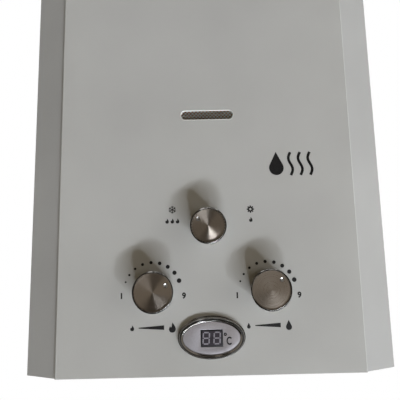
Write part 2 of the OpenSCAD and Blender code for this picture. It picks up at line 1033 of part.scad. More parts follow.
module fitting_locknuts() {
    color("Gold")
        for (p = ports())
            translate([p[0], p[1], floor_z - nut_h])
                difference() {
                    cylinder(d = hex_d + nut_over, h = nut_h, $fn = 6);
                    translate([0, 0, -1])
                        cylinder(r = neck_fit_r + seat_gap, h = nut_h + 2);
                }
}

// Water valve

module disc_screw_holes(x0, x1) {
    for (i = [0 : disc_screws - 1])
        translate([0, valve_y, knob_z])
            rotate([360 / disc_screws * i, 0, 0])
                rod_x(x0, x1, 0, disc_screw_at, disc_screw_r + seat_gap);
}

module water_valve() {
    color("Goldenrod")
        difference() {
            union() {
                rod_x(water_left, water_right, valve_y, knob_z, water_r);
                rod_x(disc_x, water_left, valve_y, knob_z, disc_r);
                rod_y(water_x, valve_y, boss_y, knob_z, plug_r + boss_wall);
                rod_z(water_x, valve_y, inlet_z, knob_z, inlet_r);
                rod_z(water_out_x, valve_y, knob_z, water_out_z, pipe_r + outlet_wall);
                rod_z(drain_x, drain_y, drain_z, knob_z, drain_r + drain_wall);
            }
            rod_y(water_x, bore_y, boss_y - 1, knob_z, plug_r + run_gap);
            rod_x(disc_x - 1, disc_x + body_cavity, valve_y, knob_z, cavity_r);
            rod_z(water_x, valve_y, inlet_z - 1, knob_z - water_r, port_bore / 2);
            rod_z(water_out_x, valve_y, knob_z + plug_r, water_out_z + 1, pipe_r - pipe_wall);
            rod_z(drain_x, drain_y, drain_z - 1, drain_z + drain_depth, drain_r + run_gap);
            disc_screw_holes(disc_x - 1, water_left + 1);
        }
}

module diaphragm() {
    color("DarkSlateGray")
        difference() {
            rod_x(disc_x - rubber_t, disc_x, valve_y, knob_z, disc_r - 0.5);
            disc_screw_holes(disc_x - rubber_t - 1, disc_x + 1);
        }
}

module diaphragm_cover() {
    color("Goldenrod")
        difference() {
            union() {
                rod_x(cover_x, cover_x + half_t, valve_y, knob_z, disc_r);
                rod_x(cover_x - cover_boss, cover_x, valve_y, knob_z, rod_r + cover_boss_wall);
            }
            rod_x(cover_x + half_t - cover_cavity, cover_x + half_t + 1, valve_y, knob_z, cavity_r);
            rod_x(cover_x - cover_boss - 1, cover_x + half_t, valve_y, knob_z, rod_r + run_gap);
            disc_screw_holes(cover_x - 1, cover_x + half_t + 1);
        }
}

module diaphragm_screws() {
    color("Silver")
        for (i = [0 : disc_screws - 1])
            translate([0, valve_y, knob_z])
                rotate([360 / disc_screws * i, 0, 0]) {
                    rod_x(cover_x - disc_head_h, cover_x, 0, disc_screw_at, disc_screw_r + disc_head_over);
                    rod_x(cover_x, water_left - 1, 0, disc_screw_at, disc_screw_r);
                }
}

module drain_plug() {
    head_top = floor_z - 2;
    flange_top = drain_z - seal_space;
    color("Tomato")
        union() {
            rod_z(drain_x, drain_y, head_top, drain_z + drain_depth - seal_space, drain_r);
            rod_z(drain_x, drain_y, flange_top - drain_flange_t, flange_top, drain_r + drain_flange_over);
            rod_z(drain_x, drain_y, head_top - drain_head_h, head_top, drain_head_r);
        }
}

module drain_seal() {
    color("Black")
        translate([drain_x, drain_y, drain_z - seal_space + pass_gap])
            linear_extrude(height = seal_space - 2 * pass_gap)
                ring_shape(drain_r + drain_flange_over - pass_gap, drain_r + run_gap);
}

// Gas valve and linkage

module gas_valve() {
    color("Silver")
        difference() {
            union() {
                rod_x(gas_left, gas_right, valve_y, knob_z, gas_r);
                rod_x(gas_right, bonnet_x, valve_y, knob_z, gas_r + bonnet_over);
                rod_y(gas_x, valve_y, boss_y, knob_z, plug_r + boss_wall);
                rod_z(gas_x, valve_y, inlet_z, knob_z, inlet_r);
                rod_z(gas_out_x, valve_y, knob_z, gas_out_z, pipe_r + outlet_wall);
            }
            rod_y(gas_x, bore_y, boss_y - 1, knob_z, plug_r + run_gap);
            rod_x(bonnet_x - guide_len - 2 * rod_travel, bonnet_x + 1, valve_y, knob_z, rod_r + run_gap);
            rod_z(gas_x, valve_y, inlet_z - 1, knob_z - gas_r, port_bore / 2);
            rod_z(gas_out_x, valve_y, knob_z + plug_r, gas_out_z + 1, pipe_r - pipe_wall);
        }
}

module solenoid_valve() {
    color("SteelBlue")
        rod_x(gas_left - coil_len, gas_left, valve_y, knob_z, coil_r);
}

module push_rod() {
    color("Silver")
        union() {
            rod_x(bonnet_x - guide_len, pusher_x, valve_y, knob_z, rod_r);
            rod_x(pusher_x, pusher_x + pusher_t, valve_y, knob_z, cavity_r / 2);
            rod_x(collar_x, collar_x + collar_t, valve_y, knob_z, collar_r);
        }
}

// Centre line of the spring, from the bonnet to the collar
function spring_point(t) = [
    bonnet_x + spring_wire / 2 + t * (collar_x - bonnet_x - spring_wire),
    valve_y + spring_r * cos(360 * spring_turns * t),
    knob_z + spring_r * sin(360 * spring_turns * t)
];

module return_spring() {
    steps = 20 * spring_turns;
    sides = 6;
    rings = [
        for (k = [0 : steps])
            let (
                t = k / steps,
                p = spring_point(t),
                d = unit(spring_point(t + 0.001) - spring_point(t - 0.001)),
                e = unit([0, p[1] - valve_y, p[2] - knob_z]),
                f = cross(d, e)
            )
            for (j = [0 : sides - 1])
                p + spring_wire / 2 * (cos(360 / sides * j) * e + sin(360 / sides * j) * f)
    ];
    walls = [
        for (k = [0 : steps - 1], j = [0 : sides - 1])
            let (a = k * sides, b = a + sides, next = (j + 1) % sides)
            [a + j, a + next, b + next, b + j]
    ];
    first = [for (j = [sides - 1 : -1 : 0]) j];
    last = [for (j = [0 : sides - 1]) steps * sides + j];
    outward = [for (f = concat(walls, [first, last])) reversed(f)];
    color("Silver")
        polyhedron(points = rings, faces = outward, convexity = 10);
}

module microswitch() {
    right = lever_x - switch_half;
    body_x = bonnet_x + switch_base;
    pin_half = switch_half - lever_t / 2;
    color("DarkSlateGray")
        union() {
            block([bonnet_x, valve_y - switch_base_half, lever_z - switch_base_half],
                [body_x, valve_y + switch_base_half, lever_z + switch_top]);
            block([body_x, valve_y - switch_half, lever_z - switch_half],
                [right, valve_y + switch_half, lever_z + switch_top]);
            for (s = [-1, 1])
                translate([0, s * pin_half, 0])
                    block([right, valve_y - lever_t / 2, lever_z - lever_eye_r],
                        [lever_x + lever_eye_r, valve_y + lever_t / 2, lever_z + lever_eye_r]);
            rod_y(lever_x, valve_y + pin_half, valve_y - pin_half, lever_z, pin_r);
        }
}

module switch_lever() {
    tip = knob_z + collar_r - lever_eye_r;
    color("Gainsboro")
        difference() {
            union() {
                rod_y(lever_x, valve_y + lever_half, valve_y - lever_half, lever_z, lever_eye_r);
                block([lever_x - lever_t / 2, valve_y - lever_half, tip],
                    [lever_x + lever_t / 2, valve_y + lever_half, lever_z - pin_r - lever_t]);
            }
            rod_y(lever_x, valve_y + lever_half + 1, valve_y - lever_half - 1, lever_z, pin_r + run_gap);
        }
}

module gas_tube() {
    middle = (gas_out_z + manifold_z) / 2;
    front = manifold_y - manifold_d / 2;
    color("Silver")
        pipe_run([
            [gas_out_x, valve_y, gas_out_z],
            [gas_out_x, valve_y, middle],
            [gas_out_x, front, middle],
            [gas_out_x, front, manifold_z]
        ], pipe_r, pipe_r - pipe_wall, pipe_bend - 2);
}

// Burner

module gas_manifold() {
    half = manifold_w / 2;
    front = manifold_y - manifold_d / 2;
    color("LightSteelBlue")
        difference() {
            union() {
                block([-half, manifold_face, manifold_z], [half, manifold_y, manifold_z + manifold_h]);
                both_sides()
                    block([half - manifold_tab, manifold_y, burner_z - 1.5 * manifold_tab],
                        [half, chamber_front, burner_z + manifold_tab]);
            }
            difference() {
                block([manifold_t - half, manifold_face + manifold_t, manifold_z + manifold_t],
                    [half - manifold_t, manifold_y - manifold_t, manifold_z + manifold_h - manifold_t]);
                rod_y(season_x, manifold_y, manifold_face, season_z, plug_r + manifold_t);
            }
            rod_y(season_x, manifold_face + season_bore, manifold_face - 1, season_z, plug_r + run_gap);
            rod_z(gas_out_x, front, manifold_z - 1, manifold_z + 2 * manifold_t, pipe_r - pipe_wall);
        }
}

module at_blades() {
    for (i = [0 : blade_count - 1])
        translate([(i - (blade_count - 1) / 2) * blade_pitch, 0, 0])
            children();
}

module gas_nozzles() {
    color("Gold")
        at_blades() {
            on_front(0, manifold_y + nozzle_len, nozzle_z)
                cylinder(r = nozzle_r, h = nozzle_len, $fn = 6);
            rod_y(0, manifold_y + nozzle_len + nozzle_tip, manifold_y + nozzle_len, nozzle_z, nozzle_r / 2);
        }
}

module burner_frame() {
    half = chamber_w / 2;
    color("Silver")
        difference() {
            block([-half, chamber_front, burner_z], [half, -chamber_back, chamber_z]);
            block([frame_t - half, chamber_front + frame_t + rail, burner_z - 1],
                [half - frame_t, -chamber_back - frame_t - rail, chamber_z + 1]);
            block([frame_t - half, chamber_front + frame_t, burner_z + rail_h],
                [half - frame_t, -chamber_back - frame_t, chamber_z + 1]);
        }
}

// Blade with its mouth in front and its flame ports on top, as Y and Z
module burner_blades() {
    front = chamber_front + frame_t + rail;
    back = -chamber_back - frame_t - rail;
    mouth = chamber_front + manifold_gap;
    low = nozzle_z - mouth_half;
    profile = [
        [mouth, low],
        [back - mouth_half, low],
        [back, low + mouth_half],
        [back, chamber_z - blade_drop],
        [front, chamber_z - blade_drop],
        [front, burner_z - blade_drop],
        [mouth, nozzle_z + mouth_half]
    ];
    color("LightSlateGray")
        at_blades()
            difference() {
                translate([-blade_t / 2, 0, 0])
                    rotate([90, 0, 90])
                        linear_extrude(height = blade_t)
                            polygon(profile);
                translate([blade_wall - blade_t / 2, 0, 0])
                    rotate([90, 0, 90])
                        linear_extrude(height = blade_t - 2 * blade_wall)
                            offset(delta = -blade_wall)
                                polygon(profile);
                rod_y(0, mouth + mouth_half, mouth - 1, nozzle_z, blade_t / 2 - 2 * blade_wall);
            }
}

// Heat exchanger

function tube_rows() = [for (i = [-1 : 1]) chamber_y - i * tube_step];

module at_electrodes() {
    for (s = [-1, 1])
        translate([s * electrode_x, 0, electrode_z])
            children();
}

module combustion_chamber() {
    half = chamber_w / 2;
    color("Peru")
        difference() {
            block([-half, chamber_front, chamber_z], [half, -chamber_back, chamber_top]);
            block([chamber_t - half, chamber_front + chamber_t, chamber_z - 1],
                [half - chamber_t, -chamber_back - chamber_t, chamber_top + 1]);
            on_front(window_x, chamber_front + 2 * chamber_t, window_z)
                linear_extrude(height = 3 * chamber_t)
                    slot_shape(window_len + window_h, 2 * window_h);
            for (y = tube_rows())
                rod_x(-half - 1, half + 1, y, tube_z, pipe_r + pass_gap);
            at_electrodes()
                rod_y(0, chamber_front + 2 * chamber_t, chamber_front - 1, 0, insulator_r + seat_gap);
        }
}

module exchanger_fins() {
    count = floor((chamber_w - 3 * fin_pitch) / fin_pitch);
    side_gap = chamber_t + 0.5;
    low = chamber_top - fin_h + 2;
    color("Chocolate")
        difference() {
            for (i = [0 : count])
                translate([(i - count / 2) * fin_pitch - fin_t / 2, 0, 0])
                    block([0, chamber_front + side_gap, low],
                        [fin_t, -chamber_back - side_gap, chamber_top - 2]);
            for (y = tube_rows())
                rod_x(-chamber_w / 2, chamber_w / 2, y, tube_z, pipe_r + seat_gap);
        }
}

module exchanger_pipe() {
    rows = tube_rows();
    color("Chocolate")
        pipe_run([
            [water_out_x, valve_y, water_out_z],
            [water_out_x, valve_y, cross_z],
            [coil_x, valve_y, cross_z],
            [coil_x, valve_y, coil_z],
            [coil_x, coil_y, coil_z],
            [-coil_x, coil_y, coil_z],
            [-coil_x, coil_back, coil_z],
            [bend_x, coil_back, coil_z],
            [bend_x, rows[0], coil_z],
            [bend_x, rows[0], tube_z],
            [-bend_x, rows[0], tube_z],
            [-bend_x, rows[1], tube_z],
            [bend_x, rows[1], tube_z],
            [bend_x, rows[2], tube_z],
            [hot_x, rows[2], tube_z],
            [hot_x, rows[2], hot_turn_z],
            [hot_x, hot_y, hot_turn_z],
            [hot_x, hot_y, inlet_z]
        ], pipe_r, pipe_r - pipe_wall, pipe_bend);
}

// Sheet forms of the hood: a skirt on the chamber that narrows to the neck
module hood_form(inset, over) {
    hull() {
        block([inset - chamber_w / 2, chamber_front + inset, chamber_top - over],
            [chamber_w / 2 - inset, -chamber_back - inset, chamber_top + hood_skirt]);
        rod_z(0, flue_y, neck_z - 1, neck_z + over, neck_r - inset);
    }
}

module flue_hood() {
    color("Silver")
        union() {
            difference() {
                hood_form(0, 0);
                hood_form(flue_t, 0.01);
            }
            translate([0, flue_y, neck_z])
                linear_extrude(height = neck_top - neck_z)
                    ring_shape(neck_r, neck_r - flue_t);
        }
}

module chamber_brackets() {
    half = bracket_half;
    color("Silver")
        for (x = [-bracket_x, bracket_x], z = [chamber_z + bracket_low, chamber_top - fin_h - bracket_high])
            translate([x, 0, z])
                union() {
                    block([-half, y_back - frame_t, 0], [half, y_back, bracket_foot]);
                    block([-half, -chamber_back, 0], [half, y_back, frame_t]);
                    block([-half, -chamber_back, -bracket_foot], [half, frame_t - chamber_back, frame_t]);
                }
}

module electrode_insulators() {
    color("Ivory")
        at_electrodes()
            union() {
                rod_y(0, chamber_front + insulator_len, chamber_front - insulator_out, 0, insulator_r);
                rod_y(0, chamber_front, chamber_front - insulator_bead, 0, insulator_r + insulator_bead);
            }
}

module electrode_rods() {
    inner = chamber_front + insulator_len;
    color("Silver")
        at_electrodes()
            rod_y(0, inner + electrode_len, inner, 0, 1);
}

module overheat_thermostat() {
    color("DarkSlateGray")
        rod_x(hot_x + pipe_r, hot_x + pipe_r + stat_h, hot_y, stat_z, stat_r);
}

module temperature_probe() {
    color("Gold")
        rod_x(hot_x + pipe_r, hot_x + pipe_r + probe_h, hot_y, probe_z, probe_r);
}

// Ignition and supply

module spark_controller() {
    color("DarkSlateBlue")
        translate([controller_x, y_back, controller_z])
            block([-controller_w / 2, -controller_d, -controller_h / 2],
                [controller_w / 2, 0, controller_h / 2]);
}

// Clear hole for the battery box
module battery_hole(z0, z1) {
    block([box_x - box_w / 2 - pass_gap, box_y - box_d / 2 - pass_gap, z0],
        [box_x + box_w / 2 + pass_gap, box_y + box_d / 2 + pass_gap, z1]);
}

module at_hinge_ears() {
    for (x = [box_x - box_w / 2 + ear_in, box_x + box_w / 2 - ear_in - ear_t])
        translate([x, 0, 0])
            children();
}

module battery_box() {
    w = box_w / 2;
    d = box_d / 2;
    color("DimGray")
        translate([box_x, box_y, 0])
            difference() {
                union() {
                    block([-w, -d, box_low], [w, d, box_roof + box_wall]);
                    block([-w - flange_over, -d - flange_over, box_low],
                        [w + flange_over, d + hinge_flange, floor_z]);
                    translate([-box_x, -box_y, 0])
                        at_hinge_ears()
                            block([0, hinge_y - knuckle_half, hinge_z - knuckle_drop],
                                [ear_t, hinge_y + knuckle_half, box_low]);
                }
                block([box_wall - w, box_wall - d, box_low - 1], [w - box_wall, d - box_wall, box_roof]);
                translate([-box_x, -box_y, 0])
                    at_hinge_ears()
                        rod_x(-1, ear_t + 1, hinge_y, hinge_z, hinge_pin_r + seat_gap);
            }
}

module battery_cells() {
    color("RoyalBlue")
        for (s = [-1, 1])
            rod_z(box_x + s * (cell_d + cell_gap) / 2, box_y, box_roof - cell_len, box_roof, cell_d / 2);
}

module battery_door() {
    w = box_w / 2 + flange_over - 1;
    barrel = box_w / 2 - ear_in - ear_t - pass_gap;
    low = door_top - door_t;
    rear = hinge_y - knuckle_clear;
    color("DimGray")
        difference() {
            union() {
                block([box_x - w, box_y - box_d / 2 - flange_over - 1, low], [box_x + w, rear, door_top]);
                block([box_x - barrel, rear, low], [box_x + barrel, hinge_y, hinge_z + door_rise]);
                rod_x(box_x - barrel, box_x + barrel, hinge_y, hinge_z, hinge_r);
            }
            rod_x(box_x - w, box_x + w, hinge_y, hinge_z, hinge_pin_r + run_gap);
        }
}

module door_hinge_pin() {
    color("Silver")
        rod_x(box_x - box_w / 2 + ear_in, box_x + box_w / 2 - ear_in, hinge_y, hinge_z, hinge_pin_r);
}

// Insulated leads: spark, flame sensing, battery, switch and display
module wiring() {
    lead = 1.2;
    turn = 4;
    rear_gap = 12;
    lead_rise = 10;
    plug_y = y_back - controller_d;
    plug_z = controller_z + rear_gap;
    drop_y = plug_y - lead_rise;
    electrode_y = chamber_front - insulator_out;
    lead_y = electrode_y - lead_rise / 2;
    side_clear = 16;
    sensor_x = -chamber_w / 2 - side_clear;
    spark_x = sensor_x - lead_rise / 2;
    switch_x = bonnet_x + 2 * turn;
    switch_z = lever_z + switch_top;
    supply_rise = 20;
    supply_z = box_roof + supply_rise;
    right_end = controller_x + controller_w / 2;
    probe_x = hot_x + pipe_r + probe_h;
    clear_x = probe_x + rear_gap;
    display_y = board_y + board_t;
    tail_x = display_x - led_w / 2;
    tail_y = display_y + lead_rise;
    color("Firebrick") {
        pipe_run([
            [-electrode_x, electrode_y, electrode_z],
            [-electrode_x, lead_y, electrode_z],
            [spark_x, lead_y, electrode_z],
            [spark_x, drop_y, electrode_z],
            [spark_x, drop_y, plug_z + lead_rise],
            [spark_x, plug_y, plug_z + lead_rise]
        ], lead, 0, turn);
        pipe_run([
            [electrode_x, electrode_y, electrode_z],
            [electrode_x, lead_y, electrode_z],
            [electrode_x, lead_y, electrode_z + lead_rise],
            [sensor_x, lead_y, electrode_z + lead_rise],
            [sensor_x, drop_y, electrode_z + lead_rise],
            [sensor_x, drop_y, plug_z],
            [sensor_x, plug_y, plug_z]
        ], lead, 0, turn);
        pipe_run([
            [box_x, box_y, box_roof + box_wall],
            [box_x, box_y, supply_z],
            [box_x, -rear_gap, supply_z],
            [right_end, -rear_gap, supply_z]
        ], lead, 0, turn);
        pipe_run([
            [switch_x, valve_y, switch_z],
            [switch_x, valve_y, switch_z + lead_rise],
            [switch_x, -2 * rear_gap, switch_z + lead_rise],
            [right_end, -2 * rear_gap, switch_z + lead_rise]
        ], lead, 0, turn);
        pipe_run([
            [tail_x, display_y, display_z],
            [tail_x, tail_y, display_z],
            [clear_x, tail_y, display_z],
            [clear_x, hot_y, display_z],
            [clear_x, hot_y, probe_z],
            [probe_x, hot_y, probe_z]
        ], lead, 0, turn);
    }
}

translate([0, 0, -hang_z]) {
    back_panel();
    left_side_panel();
    right_side_panel();
    front_fascia();
    top_cover();
    floor_plate();
    flue_collar();
    casing_screws();
    window_liner();
    window_mesh();
    gas_knob();
    gas_knob_disc();
    gas_spindle();
    water_knob();
    water_knob_disc();
    water_spindle();
    season_knob();
    season_knob_disc();
    season_spindle();
    display_bezel();
    display_plate();
    digit_module();
    display_board();
    cold_inlet();
    hot_outlet();
    gas_inlet();
    fitting_locknuts();
    water_valve();
    diaphragm_cover();
    diaphragm();
    diaphragm_screws();
    drain_plug();
    drain_seal();
    gas_valve();
    solenoid_valve();
    push_rod();
    return_spring();
    microswitch();
    switch_lever();
    gas_tube();
    gas_manifold();
    gas_nozzles();
    burner_frame();
    burner_blades();
    combustion_chamber();
    chamber_brackets();
    exchanger_fins();
    exchanger_pipe();
    flue_hood();
    electrode_insulators();
    electrode_rods();
    overheat_thermostat();
    temperature_probe();
    spark_controller();
    battery_box();
    battery_cells();
    battery_door();
    door_hinge_pin();
    wiring();
}
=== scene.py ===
import math
from functools import partial

import bmesh
import bpy
from mathutils import Matrix, Vector


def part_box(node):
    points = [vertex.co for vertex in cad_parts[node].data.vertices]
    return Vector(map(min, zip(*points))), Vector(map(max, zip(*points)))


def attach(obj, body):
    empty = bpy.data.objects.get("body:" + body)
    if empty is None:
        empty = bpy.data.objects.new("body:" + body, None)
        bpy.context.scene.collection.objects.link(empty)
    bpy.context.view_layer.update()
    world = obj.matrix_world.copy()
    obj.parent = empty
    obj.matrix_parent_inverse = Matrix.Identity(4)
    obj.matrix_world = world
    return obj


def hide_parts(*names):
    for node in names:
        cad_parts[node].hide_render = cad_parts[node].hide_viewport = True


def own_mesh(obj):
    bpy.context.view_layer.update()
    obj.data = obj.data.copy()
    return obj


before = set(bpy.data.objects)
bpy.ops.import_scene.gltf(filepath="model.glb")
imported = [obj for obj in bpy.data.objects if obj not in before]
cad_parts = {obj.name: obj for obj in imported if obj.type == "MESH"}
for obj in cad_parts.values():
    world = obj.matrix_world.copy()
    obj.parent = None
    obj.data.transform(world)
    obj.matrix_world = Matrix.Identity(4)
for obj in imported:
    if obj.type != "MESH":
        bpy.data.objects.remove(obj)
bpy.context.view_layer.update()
scene = bpy.context.scene
scene.view_settings.view_transform = "Standard"


# ---- Camera ----
# The photograph was taken by hand from close by, level with the upper knob and tipped a little
# upwards, so the casing narrows towards the top of the picture.
FOCAL_SHARE = 350 / 400  # focal length against the picture's side
CENTRE_SHIFT = -20 / 400  # the picture is cut a little off the lens axis
SENSOR = 36
CAMERA_PLACE = (-0.00803, -0.47874, -0.46488)
PAN, TILT, ROLL = -0.0042, 0.1245, -0.0214
camera_data = bpy.data.cameras.new("photo_camera")
camera_data.sensor_width = SENSOR
camera_data.lens = SENSOR * FOCAL_SHARE
camera_data.shift_y = CENTRE_SHIFT
camera_data.clip_start = 0.01
camera = bpy.data.objects.new("photo_camera", camera_data)
camera.matrix_world = (
    Matrix.Translation(CAMERA_PLACE) @ Matrix.Rotation(PAN, 4, "Z")
    @ Matrix.Rotation(math.pi / 2 + TILT, 4, "X") @ Matrix.Rotation(ROLL, 4, "Z")
)
scene.collection.objects.link(camera)
scene.camera = camera


# ---- Back panel and floor plate ----
# Folded from hot-dip galvanised sheet 0.6 and 1 mm thick and left bare, since they face the wall
# and the floor. The zinc froze in grains about a centimetre wide, which the eye sees as dull spangle.
MM = 0.001
SPANGLE = 7  # grain width in mm


def srgb(code):
    """Linear colour of a hex colour that is written as a screen shows it."""
    shares = [int(code[i:i + 2], 16) / 255 for i in (1, 3, 5)]
    return (*(s / 12.92 if s <= 0.04045 else ((s + 0.055) / 1.055) ** 2.4 for s in shares), 1.0)


def add_node(tree, kind, *sockets, **named):
    """Adds a node with its links and gives back its outputs.

    Sockets come in order or by name, as a value, a source or a list of sources. Names in small letters
    are the node's settings.
    """
    node = tree.nodes.new(kind)
    settings = {key: value for key, value in named.items() if key.islower()}
    for key, value in settings.items():
        setattr(node, key, value)
    others = {key.replace("_", " "): value for key, value in named.items() if key not in settings}
    for key, value in [*enumerate(sockets), *others.items()]:
        for source in value if isinstance(value, list) else [value]:
            if isinstance(source, bpy.types.NodeSocket):
                tree.links.new(source, node.inputs[key])
            else:
                node.inputs[key].default_value = source
    return node.outputs


def new_material(name):
    """A material with an empty tree, and what adds nodes to it."""
    material = bpy.data.materials.new(name)
    material.use_nodes = True
    material.node_tree.nodes.clear()
    return material, partial(add_node, material.node_tree)


def finish(name, width, colours, gloss=None, detail=2.0, pattern="clouds", relief=None, uv=None, along=None,
           band=None, **sockets):
    """A material whose colour and roughness drift together over clouds, grains or checks of a width in mm.

    Relief is a bump's width, detail and depth, with both sizes in mm. The pattern may follow a UV map and
    may be drawn out by factors along the axes. A band gives the heights between which the colour changes.
    """
    material, add = new_material(name)
    place = add("ShaderNodeTexCoord")["Object"]
    if uv:
        place = add("ShaderNodeUVMap", uv_map=uv)["UV"]
        sockets["Tangent"] = add("ShaderNodeTangent", direction_type="UV_MAP", uv_map=uv)[0]
    if along:
        place = add("ShaderNodeVectorMath", place, along, operation="MULTIPLY")[0]
    scale, ends = 1 / (width * MM), (0, 1)
    if pattern == "grains":
        tone = add("ShaderNodeTexVoronoi", Vector=place, Scale=scale)["Color"]
        tone = add("ShaderNodeSeparateColor", tone)["Red"]
    elif pattern == "checks":
        tone = add("ShaderNodeTexChecker", Vector=place, Scale=scale)["Fac"]
    else:
        tone = add("ShaderNodeTexNoise", Vector=place, Scale=scale, Detail=detail)["Fac"]
        ends = 0.3, 0.7  # noise keeps to the middle, so that part is spread over the whole
    share = add("ShaderNodeMapRange", tone, *ends)[0]
    if gloss:
        sockets["Roughness"] = add("ShaderNodeMapRange", tone, *ends, *gloss)[0]
    if band:
        share = add("ShaderNodeMapRange", add("ShaderNodeSeparateXYZ", place)["Z"], *band)[0]
    low, high = (srgb(code) for code in colours)
    colour = add("ShaderNodeMix", Factor=share, A=low, B=high, data_type="RGBA")["Result"]
    if relief:
        bumps = add("ShaderNodeTexNoise", Vector=place, Scale=1 / (relief[0] * MM), Detail=relief[1])["Fac"]
        sockets["Normal"] = add("ShaderNodeBump", Height=bumps, Strength=1.0, Distance=relief[2] * MM)[0]
    add("ShaderNodeOutputMaterial", add("ShaderNodeBsdfPrincipled", colour, **sockets)[0])
    return material


def dress(material, *nodes):
    """Gives CAD nodes a material."""
    for node in nodes:
        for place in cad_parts[node].material_slots:
            place.material = material


zinc = finish(
    "galvanised_steel_sheet", SPANGLE, ("#A3A7A9", "#BDC1C2"), (0.36, 0.52), pattern="grains", Metallic=1.0,
)
dress(zinc, "back_panel", "floor_plate")


# ---- Side panels, top cover and fascia ----
# Pressed from 0.6 mm steel sheet with folded edges and powder coated in a pale warm grey. Baked
# powder leaves a faint orange peel, and its silk gloss spreads reflections into a soft sheen.
CLOUD = 90  # the shade drifts over a hand's width, in mm
PEEL, PEEL_DEPTH = 3, 0.01  # in mm; the peel is twice as wide as the real one so that it shows
COAT_TONES = (  # the sides are a shade darker than the fascia
    ("powder_coated_fascia", ("#9C9C99", "#A2A29F"), ("front_fascia", "top_cover")),
    ("powder_coated_sides", ("#959593", "#9B9B99"), ("left_side_panel", "right_side_panel")),
)
for name, colours, panels in COAT_TONES:
    dress(finish(name, CLOUD, colours, (0.36, 0.44), relief=(PEEL, 1.0, PEEL_DEPTH), IOR=1.5), *panels)


# ---- Casing screws ----
# Self-tapping pan-head screws, cold headed from steel wire with a pressed cross recess and zinc
# plated. Five hold each side panel to the back panel, the floor plate and the top cover.
CASE_TO_ROW = -602  # the frame's origin lies between the hanging slots, 602 mm up the casing
HEAD_R, HEAD_H, SHANK_R, SHANK_LEN = 3.4, 1.8, 1.9, 7
SCREW_PLACES = [(-10, 59), (-10, 295), (-10, 531), (-71, 10), (-71, 583.4)]
SIDE_X = 172.5


def shaped(work, mesh):
    """Puts what was worked on into a mesh."""
    work.to_mesh(mesh)
    work.free()
    return mesh


def tidy_mesh(mesh, sharp=35):
    """Merges doubles, turns faces outwards and shades smooth up to an angle."""
    work = bmesh.new()
    work.from_mesh(mesh)
    bmesh.ops.remove_doubles(work, verts=work.verts, dist=1e-7)
    bmesh.ops.recalc_face_normals(work, faces=work.faces)
    shaped(work, mesh).shade_smooth()
    mesh.set_sharp_from_angle(angle=math.radians(sharp))
    return mesh


def skin(name, rings, sharp=35, closed=False):
    """A mesh through outlines of points in mm. A single point ends it, or the last meets the first."""
    points, spans, faces = [], [], []
    for ring in rings:
        spans.append(range(len(points), len(points) + len(ring)))
        points += ring
    count = max(len(ring) for ring in rings)
    for low, high in zip(spans, spans[1:] + spans[:closed]):
        for k in range(count):
            n = (k + 1) % count
            corners = (low[k % len(low)], low[n % len(low)], high[n % len(high)], high[k % len(high)])
            faces.append(list(dict.fromkeys(corners)))
    mesh = bpy.data.meshes.new(name)
    mesh.from_pydata([Vector(p) * MM for p in points], [], faces)
    return tidy_mesh(mesh, sharp)


def toward(turn):
    """The direction of an angle in degrees."""
    return Vector((math.cos(math.radians(turn)), math.sin(math.radians(turn))))


def circle(count):
    """Directions spread evenly round a turn."""
    return [toward(360 * k / count) for k in range(count)]


def lathe(name, profile, segments=96, sharp=35):
    """A mesh turned about Z from (radius, height) pairs in mm, listed from below outwards and up."""
    rings = []
    for radius, height in profile:
        rings.append([(*(p * radius), height) for p in circle(segments if radius > 0 else 1)])
    return skin(name, rings, sharp)


def cross_screw(name):
    """A pan-head screw along Z with its head's underside at 0 and a cross recess in the top."""
    top_r = 0.58 * HEAD_R
    profile = [(0, -SHANK_LEN), (SHANK_R, -SHANK_LEN), (SHANK_R, 0), (HEAD_R, 0), (HEAD_R, 0.3 * HEAD_H)]
    profile += [(0.94 * HEAD_R, 0.62 * HEAD_H), (0.8 * HEAD_R, 0.87 * HEAD_H), (top_r, HEAD_H)]
    mesh = lathe(name, profile, 28)
    work = bmesh.new()
    work.from_mesh(mesh)
    rim = [e for e in work.edges if e.is_boundary and all(v.co.z > 0.9 * HEAD_H * MM for v in e.verts)]
    arm, half = 0.8 * top_r * MM, 0.24 * top_r * MM
    cross = [(arm, -half), (arm, half), (half, half), (half, arm), (-half, arm), (-half, half)]
    cross += [(-x, -y) for x, y in cross]
    upper = [work.verts.new((x, y, HEAD_H * MM)) for x, y in cross]
    lower = [work.verts.new((0.8 * x, 0.8 * y, 0.45 * HEAD_H * MM)) for x, y in cross]
    edges = [work.edges.new((upper[i - 1], upper[i])) for i in range(12)]
    bmesh.ops.triangle_fill(work, use_beauty=True, edges=rim + edges)
    for i in range(12):
        work.faces.new((upper[i - 1], upper[i], lower[i], lower[i - 1]))
    work.faces.new(lower)
    return tidy_mesh(shaped(work, mesh), 40)


def new_growth(name, *numbers, **sockets):
    """A geometry tree with named inputs, what adds nodes to it, and its input sockets."""
    tree = bpy.data.node_groups.new(name, "GeometryNodeTree")
    kinds = {"Geometry": "Geometry", **dict.fromkeys(numbers, "Float"), **sockets, "Material": "Material"}
    for label, kind in kinds.items():
        tree.interface.new_socket(label.replace("_", " "), in_out="INPUT", socket_type="NodeSocket" + kind)
    tree.interface.new_socket("Geometry", in_out="OUTPUT", socket_type="NodeSocketGeometry")
    add = partial(add_node, tree)
    return tree, add, add("NodeGroupInput")


def end_growth(add, given, geometry):
    """Closes a tree: what was repeated becomes real and takes its material."""
    real = add("GeometryNodeRealizeInstances", geometry)[0]
    add("NodeGroupOutput", add("GeometryNodeSetMaterial", real, Material=given["Material"])[0])


def settled(carrier, name):
    """The plain mesh that an object's modifiers or letters come to. The object goes."""
    scene.collection.objects.link(carrier)
    depsgraph = bpy.context.evaluated_depsgraph_get()
    mesh = bpy.data.meshes.new_from_object(carrier.evaluated_get(depsgraph), depsgraph=depsgraph)
    mesh.name = name
    bpy.data.objects.remove(carrier)
    return mesh


